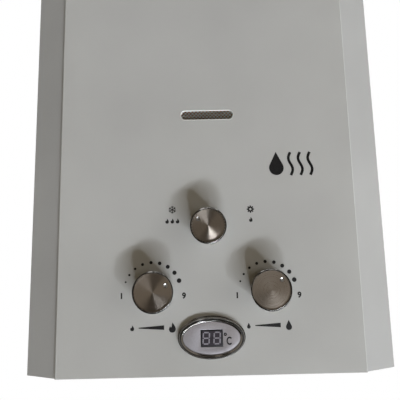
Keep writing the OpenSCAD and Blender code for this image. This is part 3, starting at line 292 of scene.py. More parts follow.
def grow(name, tree, mesh=None, **values):
    """Runs a tree on a mesh with its named inputs and gives back a plain mesh."""
    carrier = bpy.data.objects.new(name, mesh or bpy.data.meshes.new(name + "_start"))
    modifier = carrier.modifiers.new(name, "NODES")
    modifier.node_group = tree
    for item in tree.interface.items_tree:
        key = item.name.replace(" ", "_")
        if item.in_out == "INPUT" and key in values:
            modifier[item.identifier] = values[key]
    return settled(carrier, name)


def fit(mesh, body, slot, *replaced, coat=None):
    """Places a mesh as an object of the same name under a body, in the stead of CAD nodes, in one material if
    a coat is given.
    """
    if coat:
        mesh.materials.clear()
        mesh.materials.append(coat)
    piece = bpy.data.objects.new(mesh.name, mesh)
    scene.collection.objects.link(piece)
    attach(piece, body)
    if replaced:
        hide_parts(*replaced)
    return piece


# Bright zinc under a thin passivated film, which clouds the shine.
plated = finish("zinc_plated_steel", 2.5, ("#B4B3AE", "#C3C3C1"), (0.26, 0.38), Metallic=1.0)

screw_tree, add, given = new_growth("screws_on_both_sides", Screw="Object")
screw = add("GeometryNodeObjectInfo", given["Screw"])["Geometry"]
side = add("ShaderNodeSeparateXYZ", add("GeometryNodeInputPosition")[0])["X"]
sign = add("ShaderNodeMath", side, operation="SIGN")[0]
lean = add("ShaderNodeMath", sign, math.pi / 2, operation="MULTIPLY")[0]
# The cross stands at another angle on each screw, as it was left by the driver.
spin = add("FunctionNodeRandomValue", Max=1.5, Seed=7, data_type="FLOAT")[1]
lean = add("FunctionNodeEulerToRotation", add("ShaderNodeCombineXYZ", Y=lean)[0])[0]
spin = add("FunctionNodeEulerToRotation", add("ShaderNodeCombineXYZ", Z=spin)[0])[0]
both = add("FunctionNodeRotateRotation", lean, spin, rotation_space="LOCAL")[0]
screws = add("GeometryNodeInstanceOnPoints", given["Geometry"], Instance=screw, Rotation=both)[0]
end_growth(add, given, screws)

pattern = bpy.data.objects.new("screw_pattern", cross_screw("screw_pattern"))
points = bpy.data.meshes.new("screw_points")
spots = [Vector((s * SIDE_X, y, z + CASE_TO_ROW)) * MM for s in (-1, 1) for y, z in SCREW_PLACES]
points.from_pydata(spots, [], [])
screws = grow("casing_screws_cross", screw_tree, points, Screw=pattern, Material=plated)
bpy.data.objects.remove(pattern)
fit(screws, "casing", "steel", "casing_screws")


# ---- Flue collar ----
# Rolled from 0.8 mm zinc-coated sheet and seam welded, with a swaged bead that stiffens the mouth
# and a flange that is spot-welded to the top cover. The flue pipe slides over it.
FLUE_Y = -73


def at(x, y, z):
    """A move to a place in mm."""
    return Matrix.Translation(Vector((x, y, z)) * MM)


collar = [(54.2, -12), (64, -12), (64, -11.2), (56.2, -11.2), (55.3, -10.9), (55, -10.2), (55, 20)]
collar += [(54.7, 21.2), (54, 22.6), (53.7, 23.6), (54, 24.6), (54.7, 26), (55, 27.2), (55, 37.3)]
collar += [(54.8, 37.8), (54.5, 38), (54.25, 37.6), (54.2, 27.4), (53.9, 26.2), (53.2, 24.6)]
collar += [(52.9, 23.6), (53.2, 22.6), (53.9, 21), (54.2, 19.8), (54.2, -12)]
mesh = lathe("flue_collar_beaded", collar, 144)
mesh.transform(at(0, FLUE_Y, 0))
fit(mesh, "casing", "zinc_sheet", "flue_collar", coat=zinc)


# ---- Burner ----
# A row of blades folded and spot-welded from stainless strip in a sheet frame, with a manifold tube
# and turned nozzles before them. The strip is bright rolled, with fine lines along its length.
ROLL_LINE = 0.8  # line pitch in mm, coarser than the real one so that it shows
stainless = finish(
    "rolled_stainless_strip", ROLL_LINE, ("#A8A6A1", "#B9B8B4"), (0.24, 0.36), along=(0.04, 1, 1),
    Metallic=1.0,
)
dress(stainless, "burner_blades", "electrode_rods", "switch_lever", "door_hinge_pin")
dress(zinc, "burner_frame", "gas_manifold", "chamber_brackets")


# ---- Combustion chamber, heat exchanger and hood ----
# The chamber, its fins and the pipe wound about it are brazed from deoxidised copper, which heat
# darkens in brown and violet clouds. The hood over it is folded from zinc-coated sheet.
copper = finish("brazed_copper_sheet", 35, ("#A8623F", "#C98D6A"), (0.42, 0.28), 3.0, Metallic=1.0)
dress(copper, "combustion_chamber", "exchanger_fins", "exchanger_pipe", "gas_tube")
dress(zinc, "flue_hood")
dress(plated, "overheat_thermostat", "temperature_probe")


# ---- Water and gas valves ----
# The water side is hot-pressed brass, machined on its faces, and the gas valve is die-cast
# aluminium. Brass dulls in spots where it was touched, and the casting keeps a grainy skin.
CAST_GRAIN = 1.6  # in mm
brass = finish("machined_brass", 9, ("#B59A5E", "#CDB77C"), (0.34, 0.24), 3.0, Metallic=1.0)
dress(brass, "water_valve", "diaphragm_cover", "gas_nozzles", "push_rod")
cast = finish(
    "die_cast_aluminium", CAST_GRAIN, ("#9B9C9D", "#B0B1B1"), relief=(CAST_GRAIN, 2.0, 0.05), Metallic=1.0,
    Roughness=0.48,
)
dress(cast, "gas_valve")
dress(plated, "diaphragm_screws", "solenoid_valve", "gas_spindle", "water_spindle", "season_spindle")


# ---- Diaphragm, drain seal and leads ----
# Moulded nitrile rubber for the diaphragm and the ring, and silicone rubber round the leads. Rubber
# is dull, with a bloom that greys it in patches, and silicone picks up dust.
rubber = finish("moulded_rubber", 4, ("#1C1B1B", "#2A2928"), (0.6, 0.75), IOR=1.52)
dress(rubber, "diaphragm", "drain_seal")
silicone = finish("silicone_lead_sleeve", 6, ("#A53A2C", "#B24A38"), (0.5, 0.62), IOR=1.43)
dress(silicone, "wiring")


# ---- Return spring ----
# Coiled cold from hard-drawn stainless wire 1.2 mm thick. It sits round the push rod, between the
# two valves, and shortens as the rod travels.
SPRING_X, SPRING_END_X = -19.9, -2.1
SPRING_Y, SPRING_Z = -72, 77.5 + CASE_TO_ROW
SPRING_R, WIRE_R, TURNS = 5.0, 0.6, 6.0
coil_tree, add, given = new_growth(
    "wire_along_a_coil", "Turns", "Radius", "Wire", "Length", Steps="Int", Sides="Int",
)
spiral = add(
    "GeometryNodeCurveSpiral", given["Steps"], given["Turns"], given["Radius"], given["Radius"],
    given["Length"],
)[0]
section = add("GeometryNodeCurvePrimitiveCircle", given["Sides"], Radius=given["Wire"])[0]
coil = add("GeometryNodeCurveToMesh", spiral, section, Fill_Caps=True)[0]
end_growth(add, given, coil)

mesh = grow(
    "return_spring_wire", coil_tree, Turns=TURNS, Radius=SPRING_R * MM, Wire=WIRE_R * MM,
    Length=(SPRING_END_X - SPRING_X - 2 * WIRE_R) * MM, Steps=40, Sides=10, Material=stainless,
)
mesh.transform(at(SPRING_X + WIRE_R, SPRING_Y, SPRING_Z) @ Matrix.Rotation(math.pi / 2, 4, "Y"))
spring = fit(tidy_mesh(mesh, 60), "casing", "steel", "return_spring")
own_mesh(spring)


# ---- Pipe ends and locknuts ----
# Turned from brass bar, with a G1/2 thread of 1.814 mm pitch cut on each end for the supply hoses.
# A hexagon above the floor plate takes the wrench and a flat locknut below clamps the fitting.
THREAD_R, THREAD_PITCH, THREAD_DEPTH = 10.48, 1.814, 1.16
NECK_R, BORE_R, HEX_R, NUT_R, SPIGOT_R = 11.48, 7.0, 15.5, 16.5, 8.0
END_LOW, END_TOP, NECK_TOP, HEX_TOP, SPIGOT_TOP = -14, 10, 16.6, 23.8, 33.8
NUT_LOW, NUT_TOP = 10.5, 16.0
FITTINGS = {"cold_inlet": (55, -72), "hot_outlet": (-133, -60), "gas_inlet": (-51, -72)}
HEX_EASE, HEX_STEPS = 0.7, 60
THREAD_LEAD, THREAD_END, THREAD_SUNK = 1.4, 2, 0.25


def hexagon(name, corner_r, bore_r, low, high):
    """A hexagon with turned-down corners and a bore, between two heights."""
    profile = [(bore_r, low), (corner_r - HEX_EASE, low), (corner_r, low + HEX_EASE)]
    profile += [(corner_r, high - HEX_EASE), (corner_r - HEX_EASE, high), (bore_r, high)]
    rings = [[] for _ in profile]
    for k, p in enumerate(circle(HEX_STEPS)):
        off = math.radians(360 * k / HEX_STEPS % 60 - 30)  # from the middle of a flat
        flat = corner_r * math.cos(math.pi / 6) / math.cos(off)
        for ring, (radius, height) in zip(rings, profile):
            ring.append((*(p * min(radius, flat)), height))
    return skin(name, rings, 25, closed=True)


def joined_mesh(name, *meshes):
    """One mesh of several that share a material."""
    work = bmesh.new()
    for mesh in meshes:
        work.from_mesh(mesh)
    whole = shaped(work, bpy.data.meshes.new(name))
    for material in meshes[0].materials:
        whole.materials.append(material)
    return whole


root_r = THREAD_R - THREAD_DEPTH
tube = [(BORE_R, END_LOW), (root_r - 0.6, END_LOW), (root_r, END_LOW + 0.6), (root_r, END_TOP - 1.2)]
tube += [(root_r, END_TOP - 0.4), (NECK_R - 0.3, END_TOP), (NECK_R, END_TOP + 0.3), (NECK_R, NECK_TOP)]
tube += [(SPIGOT_R, NECK_TOP), (SPIGOT_R, SPIGOT_TOP - 0.5), (SPIGOT_R - 0.5, SPIGOT_TOP)]
tube += [(BORE_R, SPIGOT_TOP), (BORE_R, END_LOW)]
thread_len = END_TOP - END_LOW - THREAD_LEAD - THREAD_END
nuts = []
for name, (x, y) in FITTINGS.items():
    core = lathe(name + "_core", tube)
    helix = grow(
        name + "_helix", coil_tree, Turns=thread_len / THREAD_PITCH, Radius=(root_r + THREAD_SUNK) * MM,
        Wire=(THREAD_DEPTH - THREAD_SUNK) * MM, Length=thread_len * MM, Steps=48, Sides=4, Material=brass,
    )
    helix.transform(at(0, 0, END_LOW + THREAD_LEAD))
    hexed = hexagon(name + "_hex", HEX_R, BORE_R + 0.5, NECK_TOP, HEX_TOP)
    whole = joined_mesh(name + "_threaded", helix, core, hexed)
    whole.transform(at(x, y, CASE_TO_ROW))
    fit(tidy_mesh(whole, 30), "casing", "brass", name)
    nut = hexagon(name + "_nut", NUT_R, NECK_R + 0.05, NUT_LOW, NUT_TOP)
    nut.transform(at(x, y, CASE_TO_ROW))
    nuts.append(nut)
mesh = tidy_mesh(joined_mesh("locknuts_chamfered", *nuts), 25)
fit(mesh, "casing", "brass", "fitting_locknuts", coat=brass)


# ---- Drain plug ----
# Injection moulded in red acetal, with a ribbed head, a coin bar below and a threaded stem that
# closes the drain of the water valve. Acetal is waxy, with a satin skin.
DRAIN = (82, -66)
PLUG_R, PLUG_RIB = 8.4, 0.6
acetal = finish("moulded_acetal", 3, ("#9A2A22", "#AA352B"), (0.34, 0.44), IOR=1.48)

# Half-round bars stand round a grip, here and on the knobs, so that wet fingers hold it.
rib_tree, add, given = new_growth(
    "ribs_round_a_grip", "Circle", "Rib", "Length", "Foot", "Lean", Ribs="Int",
)
around = add("GeometryNodeMeshCircle", given["Ribs"], given["Circle"])["Mesh"]
lift = add("ShaderNodeCombineXYZ", Z=given["Foot"])[0]
around = add("GeometryNodeSetPosition", around, Offset=lift)[0]
bar = add(
    "GeometryNodeMeshCone", 8, Radius_Top=given["Rib"], Radius_Bottom=given["Rib"], Depth=given["Length"],
)["Mesh"]
step = add("ShaderNodeMath", math.tau, given["Ribs"], operation="DIVIDE")[0]
angle = add("ShaderNodeMath", add("GeometryNodeInputIndex")[0], step, operation="MULTIPLY")[0]
tilt = add("ShaderNodeCombineXYZ", Y=given["Lean"], Z=angle)[0]
turn = add("FunctionNodeEulerToRotation", tilt)[0]
ribs = add("GeometryNodeInstanceOnPoints", around, Instance=bar, Rotation=turn)[0]
gripped = add("GeometryNodeJoinGeometry", [ribs, given["Geometry"]])[0]
end_growth(add, given, gripped)


def eased_box(name, size, middle, ease, segments, axis=None):
    """A box in mm with rounded edges, or with only those along one axis rounded."""
    work = bmesh.new()
    bmesh.ops.create_cube(work, size=1)
    bmesh.ops.scale(work, verts=work.verts, vec=Vector(size) * MM)
    edges = work.edges[:]
    if axis is not None:
        edges = [e for e in edges if abs(e.verts[0].co[axis] - e.verts[1].co[axis]) > 1e-6]
    bmesh.ops.bevel(work, geom=edges, offset=ease * MM, segments=segments, affect="EDGES", profile=0.5)
    bmesh.ops.translate(work, verts=work.verts, vec=Vector(middle) * MM)
    return shaped(work, bpy.data.meshes.new(name))


stem = [(0, 5.4), (7.6, 5.4), (8.2, 5.8), (PLUG_R, 6.4), (PLUG_R, 13.2), (8, 13.8), (7.4, 14), (5, 14)]
stem += [(5, 41.5), (7.2, 41.5), (7.5, 41.8), (7.5, 43.7), (7.2, 44), (5, 44), (5, 61.2), (4.2, 62), (0, 62)]
plug = grow(
    "drain_ribs", rib_tree, lathe("drain_core", stem, 72), Ribs=24, Circle=PLUG_R * MM, Rib=PLUG_RIB * MM,
    Length=6.4 * MM, Foot=6.6 * MM, Lean=0.0, Material=acetal,
)
coin_bar = eased_box("coin_bar", (12, 2.4, 2), (0, 0, 5), 0.4, 2)
whole = joined_mesh("drain_plug_ribbed", plug, coin_bar)
whole.transform(at(*DRAIN, CASE_TO_ROW))
fit(tidy_mesh(whole, 40), "drain_screw", "red_plastic", "drain_plug", coat=acetal)


# ---- Ignition and electronics ----
# Glazed alumina tubes hold the electrodes, the controller and the microswitch are potted in black
# plastic housings, and the display board is glass-epoxy laminate. The glaze shines, the plastic keeps a
# fine grain from its mould, and the laminate's weave shows through.
NYLON_GRAIN, LAMINATE_CELL = 1.2, 0.8  # in mm
alumina = finish("glazed_alumina", 5, ("#E2DFD6", "#EEECE6"), (0.12, 0.22), IOR=1.65)
dress(alumina, "electrode_insulators")
housing = finish(
    "moulded_black_nylon", NYLON_GRAIN, ("#232324", "#2E2E2F"), (0.48, 0.58), relief=(NYLON_GRAIN, 2.0, 0.03),
    IOR=1.53,
)
dress(housing, "spark_controller", "microswitch")
laminate = finish(
    "glass_epoxy_laminate", LAMINATE_CELL, ("#2E5A38", "#346340"), pattern="checks", IOR=1.55, Roughness=0.35,
)
dress(laminate, "display_board")


# ---- Battery box, cells and door ----
# The box and its door are injection moulded in black nylon with eased edges. The door swings on a
# steel pin and has ribs for a fingernail along its free edge. Two dry cells stand in the box.
NAIL_RIBS, NAIL_PITCH, NAIL_R, NAIL_LEN = 5, 2.2, 0.6, 26
DOOR_FACE, NAIL_START = -590, 4
BAND_LOW, BAND_HIGH = -0.545, -0.5445  # where the jacket's dark foot ends, in metres


def eased(node, width):
    """A merged copy of a CAD node with its edges rounded, as a moulding has them."""
    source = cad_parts[node].data
    mesh = bpy.data.meshes.new(node + "_start")
    mesh.from_pydata([v.co for v in source.vertices], [], [p.vertices[:] for p in source.polygons])
    work = bmesh.new()
    work.from_mesh(mesh)
    bmesh.ops.remove_doubles(work, verts=work.verts, dist=1e-6)
    bmesh.ops.dissolve_limit(work, angle_limit=math.radians(2), verts=work.verts, edges=work.edges)
    carrier = bpy.data.objects.new(node + "_start", shaped(work, mesh))
    bevel = carrier.modifiers.new("ease", "BEVEL")
    bevel.width = width * MM
    bevel.segments = 3
    bevel.limit_method = "ANGLE"
    bevel.angle_limit = math.radians(50)
    return tidy_mesh(settled(carrier, node + "_eased"), 30)


for node, ease, body in (("battery_box", 0.3, "casing"), ("battery_door", 0.35, "hatch")):
    fit(eased(node, ease), body, "black_plastic", node, coat=housing)

nail_tree, add, given = new_growth("nail_ribs", "Pitch", "Rib", "Length", Ribs="Int")
ahead = add("ShaderNodeCombineXYZ", Y=given["Pitch"])[0]
row = add("GeometryNodeMeshLine", Count=given["Ribs"], Offset=ahead, mode="OFFSET")["Mesh"]
rib = add("GeometryNodeMeshCylinder", 10, Radius=given["Rib"], Depth=given["Length"])["Mesh"]
ribs = add("GeometryNodeInstanceOnPoints", row, Instance=rib, Rotation=(0, math.pi / 2, 0))[0]
end_growth(add, given, ribs)
mesh = grow(
    "door_nail_ribs", nail_tree, Ribs=NAIL_RIBS, Pitch=NAIL_PITCH * MM, Rib=NAIL_R * MM,
    Length=NAIL_LEN * MM, Material=housing,
)
low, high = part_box("battery_door")
mesh.transform(Matrix.Translation(((low.x + high.x) / 2, low.y + NAIL_START * MM, DOOR_FACE * MM)))
fit(tidy_mesh(mesh, 40), "hatch", "black_plastic")

# A printed metal foil jacket: a dark foot, a copper-coloured upper part, both faintly scuffed.
jacket = finish(
    "printed_cell_jacket", 3, ("#1E1F22", "#B07A3E"), (0.28, 0.4), band=(BAND_LOW, BAND_HIGH), Metallic=0.7,
)
dress(jacket, "battery_cells")


# ---- Window liner and mesh ----
# The sight slot above the burner has a white heat-proof moulding clipped in from behind, with a
# rounded lip that slopes in to the slot. Close behind it lies a square-woven wire mesh.
WINDOW = (1.5, 244.3 + CASE_TO_ROW)
WINDOW_LEN, WINDOW_H = 51, 8.3
WINDOW_HALF = (WINDOW_LEN - WINDOW_H) / 2  # from the middle to where the round ends begin
# The lip's outline: how far outside the slot, and the depth
LIP = [(0, -140.8), (0, -141.5), (0.3, -142), (0.45, -142.08), (0.7, -142.12), (1.02, -142.1)]
LIP += [(1.1, -142.02), (1.1, -141.4), (3.95, -141.4), (4.1, -141.25), (4.1, -140.95), (3.95, -140.8)]


def slot_ring(grown, depth, count=24):
    """A round-ended outline about the window, grown by some mm, at a depth."""
    radius = WINDOW_H / 2 + grown
    ring = []
    for side in (1, -1):
        for k in range(count + 1):
            p = toward(180 * (k / count - side / 2)) * radius
            ring.append((WINDOW[0] + side * WINDOW_HALF + p.x, depth, WINDOW[1] + p.y))
    return ring


# Heat-proof polyamide: a satin white that has yellowed a little and unevenly.
white = finish("moulded_white_polyamide", 12, ("#B0B0AC", "#BABAB6"), (0.38, 0.48), IOR=1.53)
mesh = skin("window_liner_lipped", [slot_ring(*step) for step in LIP], closed=True)
fit(mesh, "casing", "white_plastic", "window_liner", coat=white)

# Drawn steel wire under a thin scale from the burner's heat, which dulls it in short lengths.
wire_steel = finish("oxidised_steel_wire", 1.5, ("#B5AEA2", "#CAC3B7"), (0.4, 0.6), Metallic=1.0)
WIRE, APERTURE = 0.5, 2.5  # wire thickness and distance from wire to wire, in mm
WIRES, WIRE_REACH, WAVE = 22, 9, 0.05
MESH_Y, MESH_MARGIN = -140.5, 2.2

wire_tree, add, given = new_growth(
    "wires_one_way", "Waves", "Radius", "Wire", Wires="Int", First="Vector", Spacing="Vector",
    Low_End="Vector", High_End="Vector", Wave="Vector", Half="Vector",
)
row = add(
    "GeometryNodeMeshLine", Count=given["Wires"], Start_Location=given["First"], Offset=given["Spacing"],
    mode="OFFSET",
)["Mesh"]
single = add("GeometryNodeCurvePrimitiveLine", given["Low End"], given["High End"])[0]
many = add("GeometryNodeInstanceOnPoints", row, Instance=single)[0]
real = add("GeometryNodeRealizeInstances", many)[0]
fine = add("GeometryNodeResampleCurve", real, Count=56)[0]
# Each wire waves over and under those it crosses; the other family does the opposite.
spot = add("GeometryNodeInputPosition")[0]
phase = add("ShaderNodeVectorMath", spot, Scale=given["Waves"], operation="SCALE")[0]
swing = add("ShaderNodeVectorMath", phase, operation="COSINE")[0]
swing = add("ShaderNodeVectorMath", swing, given["Wave"], operation="DOT_PRODUCT")["Value"]
waved = add("GeometryNodeSetPosition", fine, Offset=add("ShaderNodeCombineXYZ", Y=swing)[0])[0]
# What lies outside the round-ended slot is cut off.
aside = add("ShaderNodeVectorMath", spot, operation="ABSOLUTE")[0]
past = add("ShaderNodeVectorMath", aside, given["Half"], operation="SUBTRACT")[0]
past = add("ShaderNodeVectorMath", past, (0, 0, 0), operation="MAXIMUM")[0]
far = add("ShaderNodeVectorMath", past, operation="LENGTH")["Value"]
outside = add("ShaderNodeMath", far, given["Radius"], operation="GREATER_THAN")[0]
kept = add("GeometryNodeDeleteGeometry", waved, outside, domain="POINT")[0]
section = add("GeometryNodeCurvePrimitiveCircle", 6, Radius=given["Wire"])[0]
swept = add("GeometryNodeCurveToMesh", kept, section, Fill_Caps=True)[0]
end_growth(add, given, swept)

spacing = APERTURE * math.sqrt(2) * MM  # along the slot, which the wires cross at 45 degrees
reach = WIRE_REACH * MM
families = []
for way in (1.0, -1.0):
    families.append(grow(
        "window_mesh_wires", wire_tree, Wires=WIRES, First=(-(WIRES - 1) * spacing / 2, 0.0, 0.0),
        Spacing=(spacing, 0.0, 0.0), Low_End=(-way * reach, 0.0, -reach), High_End=(way * reach, 0.0, reach),
        Waves=math.tau / spacing, Wave=(way * WAVE / 2 * MM, 0.0, way * WAVE / 2 * MM),
        Half=(WINDOW_HALF * MM, 0.0, 0.0), Radius=(WINDOW_H / 2 + MESH_MARGIN) * MM, Wire=WIRE / 2 * MM,
        Material=wire_steel,
    ))
mesh = joined_mesh("window_mesh_woven", *families)
mesh.transform(at(WINDOW[0], MESH_Y, WINDOW[1]))
fit(tidy_mesh(mesh, 60), "casing", "mesh_wire", "window_mesh")


# ---- Knobs ----
# Moulded in ABS and chrome plated, with ribbed sides, a polished rim and a hub that is pushed on to
# the flatted spindle. A spun metal disc is glued into the face, with a dimple as the pointer.
KNOB_BASE, KNOB_H = -144, 15
# Each knob's place across and up, width, angle of the dimple and how much thinner its disc is at the edge
KNOBS = {
    "gas": (-51, 77.5, 37, 26, 1.25), "water": (55, 77.5, 37, 42, 1.0), "season": (0, 135.5, 33.5, 146, 1.95),
}
RIB_PER_MM, RIB_R, RIB_LEAN = 1.11, 0.82, 0.125
GROOVE = 0.7  # pitch of the spinning lines in mm, coarser than the real ones
DISC_T, DISC_IN = 2.4, 1.65  # the disc's thickness in the middle, and the rim that is left round it
DIMPLE_R, DIMPLE_DEEP, DIMPLE_IN = 1.95, 0.62, 5.6
DIMPLE_BRIGHT = 0.97 * DIMPLE_R
# The rim's rolled edge: steps inwards from the side and up, which turn from 45 to 19 degrees of slope
RIM = [(0.1, 0), (0.2, 0.098), (0.3, 0.19), (0.4, 0.275), (0.5, 0.352), (0.6, 0.418), (0.72, 0.493)]
RIM += [(0.86, 0.578), (1.0, 0.655), (1.12, 0.716), (1.22, 0.762), (1.32, 0.803), (1.4, 0.83)]

# Bright chrome over smooth plastic: near to a mirror, with the haze of handling.
chrome = finish("chrome_plated_abs", 6, ("#A9A6A1", "#B7B5B2"), (0.07, 0.14), Metallic=1.0)

# Stainless sheet turned with an abrasive pad: its ring lines draw reflections out into wedges. The UV map
# holds the radius in metres and the share of a turn, so the lines follow the radius. The three discs wore
# differently: the lower left is the finest, the lower right the dullest.
DISC_FINISH = {}
for name, wear, lengthwise, gloss in (
    ("gas", "fine", 0.92, (0.19, 0.24)), ("water", "dull", 0.35, (0.26, 0.31)),
    ("season", "bright", 0.96, (0.33, 0.37)),
):
    DISC_FINISH[name] = finish(
        "spun_stainless_" + wear, GROOVE, ("#9F968B", "#AFA69C"), gloss, 3.0, uv="polar", along=(1, 0, 0),
        Metallic=1.0, Anisotropic=lengthwise,
    )


def spun_disc(name, radius, cone, pointer, steps=56, segments=224):
    """A faintly conical disc along Z with a dimple at an angle, and radius and turn as its UV map."""
    spot = toward(pointer) * (radius + DISC_IN - DIMPLE_IN)
    ball = (DIMPLE_R ** 2 + DIMPLE_DEEP ** 2) / (2 * DIMPLE_DEEP)
    rings = [[(0, 0, DISC_T)]]
    for i in range(1, steps + 1):
        ring = []
        for p in circle(segments):
            p *= radius * i / steps
            near = (p - spot).length
            sink = math.sqrt(ball ** 2 - near ** 2) - (ball - DIMPLE_DEEP) if near < DIMPLE_R else 0
            ring.append((*p, DISC_T - cone * i / steps - max(sink, 0)))
        rings.append(ring)
    rings += [[(x, y, 0) for x, y, z in rings[-1]], [(0, 0, 0)]]
    mesh = skin(name, rings)
    layer = mesh.uv_layers.new(name="polar")
    for face in mesh.polygons:
        near = (face.center.xy / MM - spot).length
        face.material_index = int(face.normal.z > 0 and near < DIMPLE_BRIGHT)
        turn = math.atan2(face.center.y, face.center.x)
        for loop in face.loop_indices:
            co = mesh.vertices[mesh.loops[loop].vertex_index].co
            a = math.atan2(co.y, co.x)
            a += math.tau * round((turn - a) / math.tau)
            layer.data[loop].uv = (math.hypot(co.x, co.y), a / math.tau)
    return mesh


for name, (x, z, across, pointer, cone) in KNOBS.items():
    r, h = across / 2, KNOB_H
    shell = [(0, 10.6), (4.05, 10.6), (4.05, 1), (7, 1), (7, h - 3.4), (r - 2.8, h - 3.4), (r - 4.4, 0.2)]
    shell += [(r - 4.2, 0), (r - 2.4, 0), (r - 2.2, 0.2), (r - 2.2, 0.7), (r - 2.9, 0.9), (r - 1.35, h - 1.9)]
    shell += [(r - 0.5, h - 1.65), (r - 0.2, h - 1.5), (r - 0.1, h - 1.3), (r - 0.1, h - 0.9)]
    shell += [(r - inward, h - 0.885 + up) for inward, up in RIM]
    shell += [(r - 1.5, h - 0.02), (r - 1.58, h - 0.12), (r - 1.6, h - DISC_T), (0, h - DISC_T)]
    core = lathe(name + "_core", shell, 160, 30)
    mesh = grow(
        name + "_knob_ribbed", rib_tree, core, Ribs=round(across * RIB_PER_MM), Circle=(r - 2.75) * MM,
        Rib=RIB_R * MM, Length=(h - 2.8) * MM, Foot=0.9 * MM, Lean=RIB_LEAN, Material=chrome,
    )
    seat = at(x, KNOB_BASE, z + CASE_TO_ROW) @ Matrix.Rotation(math.pi / 2, 4, "X")
    mesh.transform(seat)
    body = name + "_control"
    fit(tidy_mesh(mesh, 30), body, "chrome", name + "_knob", coat=chrome)
    disc = spun_disc(name + "_knob_face", r - DISC_IN, cone, pointer)
    disc.transform(seat @ at(0, 0, KNOB_H - DISC_T))
    disc.materials.append(DISC_FINISH[name])
    disc.materials.append(plated)  # the dimple is pressed and bright
    fit(disc, body, "spun_disc", name + "_knob_disc")


# ---- Display ----
# A chrome-plated oval frame is clipped through the fascia and holds a silver lacquered face plate.
# The two-digit module shows through its window, unlit: pale bars in a smoked block.
DISPLAY = (1.0, 33.6 + CASE_TO_ROW)
OVAL_W, OVAL_H, OVAL_POINTS = 62.4, 38.6, 144
# From the fascia: a low flange, a steep outside slope, a groove painted black as a painted dark reflection,
# a bevelled lip round the plate and the sleeve behind. Each step is taken in from the oval's edge at the
# fascia, with its depth.
STEPS = [(0, -142), (0.03, -142.25), (0.08, -142.33), (0.13, -142.355), (0.85, -142.68), (0.9, -142.72)]
STEPS += [(1, -142.95), (1.25, -144.3), (1.5, -144.9), (1.8, -145.25), (2, -145.35), (2.15, -145.3)]
STEPS += [(2.3, -144.9), (2.35, -144.7), (3, -144.7), (3.05, -145.2), (3.15, -145.8), (3.35, -146)]
STEPS += [(3.55, -145.99), (3.6, -145.97), (3.65, -145.948), (4.7, -145.48), (4.75, -145.455)]
STEPS += [(4.86, -145.3), (4.9, -145), (4.9, -143.5), (7.5, -143.5), (7.5, -141), (4.9, -141)]
STEPS += [(4.9, -136.4), (3.7, -136.4), (3.7, -142)]
GROOVE_PAINTED_DARK = range(11, 15)  # the steps of the groove that take black nylon as a painted dark reflection
FLAKE = 0.9  # flake width in mm, coarser than real flakes so that it shows
SCREEN_SIZE, SCREEN_Y = (17.6, 0.3, 12.6), -144.68
# Seven bars of each digit: place across and up in half digit widths and heights, and upright or not.
BARS = [(0, 1, 0), (0, 0, 0), (0, -1, 0), (-1, 0.5, 1), (1, 0.5, 1), (-1, -0.5, 1), (1, -0.5, 1)]
DIGIT_W, DIGIT_H, BAR_W, BAR_T, BAR_Y, SLANT = 5.5, 9.9, 1.2, 0.16, -144.85, 0.06
DIGIT_X = (-5.0, 4.9)

rings = []
for inset, depth in STEPS:
    wide, tall = OVAL_W / 2 - inset, OVAL_H / 2 - inset
    rings.append([(DISPLAY[0] + wide * p.x, depth, DISPLAY[1] + tall * p.y) for p in circle(OVAL_POINTS)])
mesh = skin("display_frame_oval", rings, 40, closed=True)
mesh.materials.append(chrome)
mesh.materials.append(housing)
# The groove's faces take the black nylon: a painted dark reflection in the plated frame, not a separate part.
for face in mesh.polygons:
    face.material_index = int(face.index // OVAL_POINTS in GROOVE_PAINTED_DARK)
fit(mesh, "casing", "chrome", "display_bezel")

# Silver lacquer: metal flakes that lie at slightly different angles under a clear film.
lacquer = finish(
    "silver_lacquered_plastic", FLAKE, ("#A9A6AA", "#AFACB0"), (0.3, 0.33), pattern="grains", Metallic=0.55,
)
fit(eased("display_plate", 0.25), "casing", "silver_plastic", "display_plate", coat=lacquer)

# The module is cast: a dull black epoxy case, a smoked pane over it and milky bars that spread light.
smoked = finish("smoked_acrylic_block", 7, ("#322F34", "#3B383D"), (0.18, 0.28), IOR=1.49)
casing_black = finish(
    "moulded_black_epoxy", 2, ("#0D0C0E", "#171618"), (0.5, 0.6), IOR=1.5, Specular_IOR_Level=0.25,
)
diffuser = finish("diffusing_epoxy_bar", 2, ("#737077", "#7D7A81"), (0.3, 0.42), IOR=1.5)
fit(eased("digit_module", 0.3), "casing", "dark_display", "digit_module", coat=casing_black)
mesh = eased_box("digit_screen", SCREEN_SIZE, (DISPLAY[0], SCREEN_Y, DISPLAY[1]), 1.2, 6, axis=1)
fit(tidy_mesh(mesh, 30), "casing", "dark_display", coat=smoked)

bar_tree, add, given = new_growth("digit_bars", "Bar Length", "Bar Width", "Thick")
stands = add("GeometryNodeInputNamedAttribute", "upright", data_type="FLOAT")[0]
quarter = add("ShaderNodeMath", stands, math.pi / 2, operation="MULTIPLY")[0]
turn = add("FunctionNodeEulerToRotation", add("ShaderNodeCombineXYZ", Y=quarter)[0])[0]
size = add("ShaderNodeCombineXYZ", given["Bar Length"], given["Thick"], given["Bar Width"])[0]
bar = add("GeometryNodeMeshCube", size)["Mesh"]
bars = add("GeometryNodeInstanceOnPoints", given["Geometry"], Instance=bar, Rotation=turn)[0]
end_growth(add, given, bars)

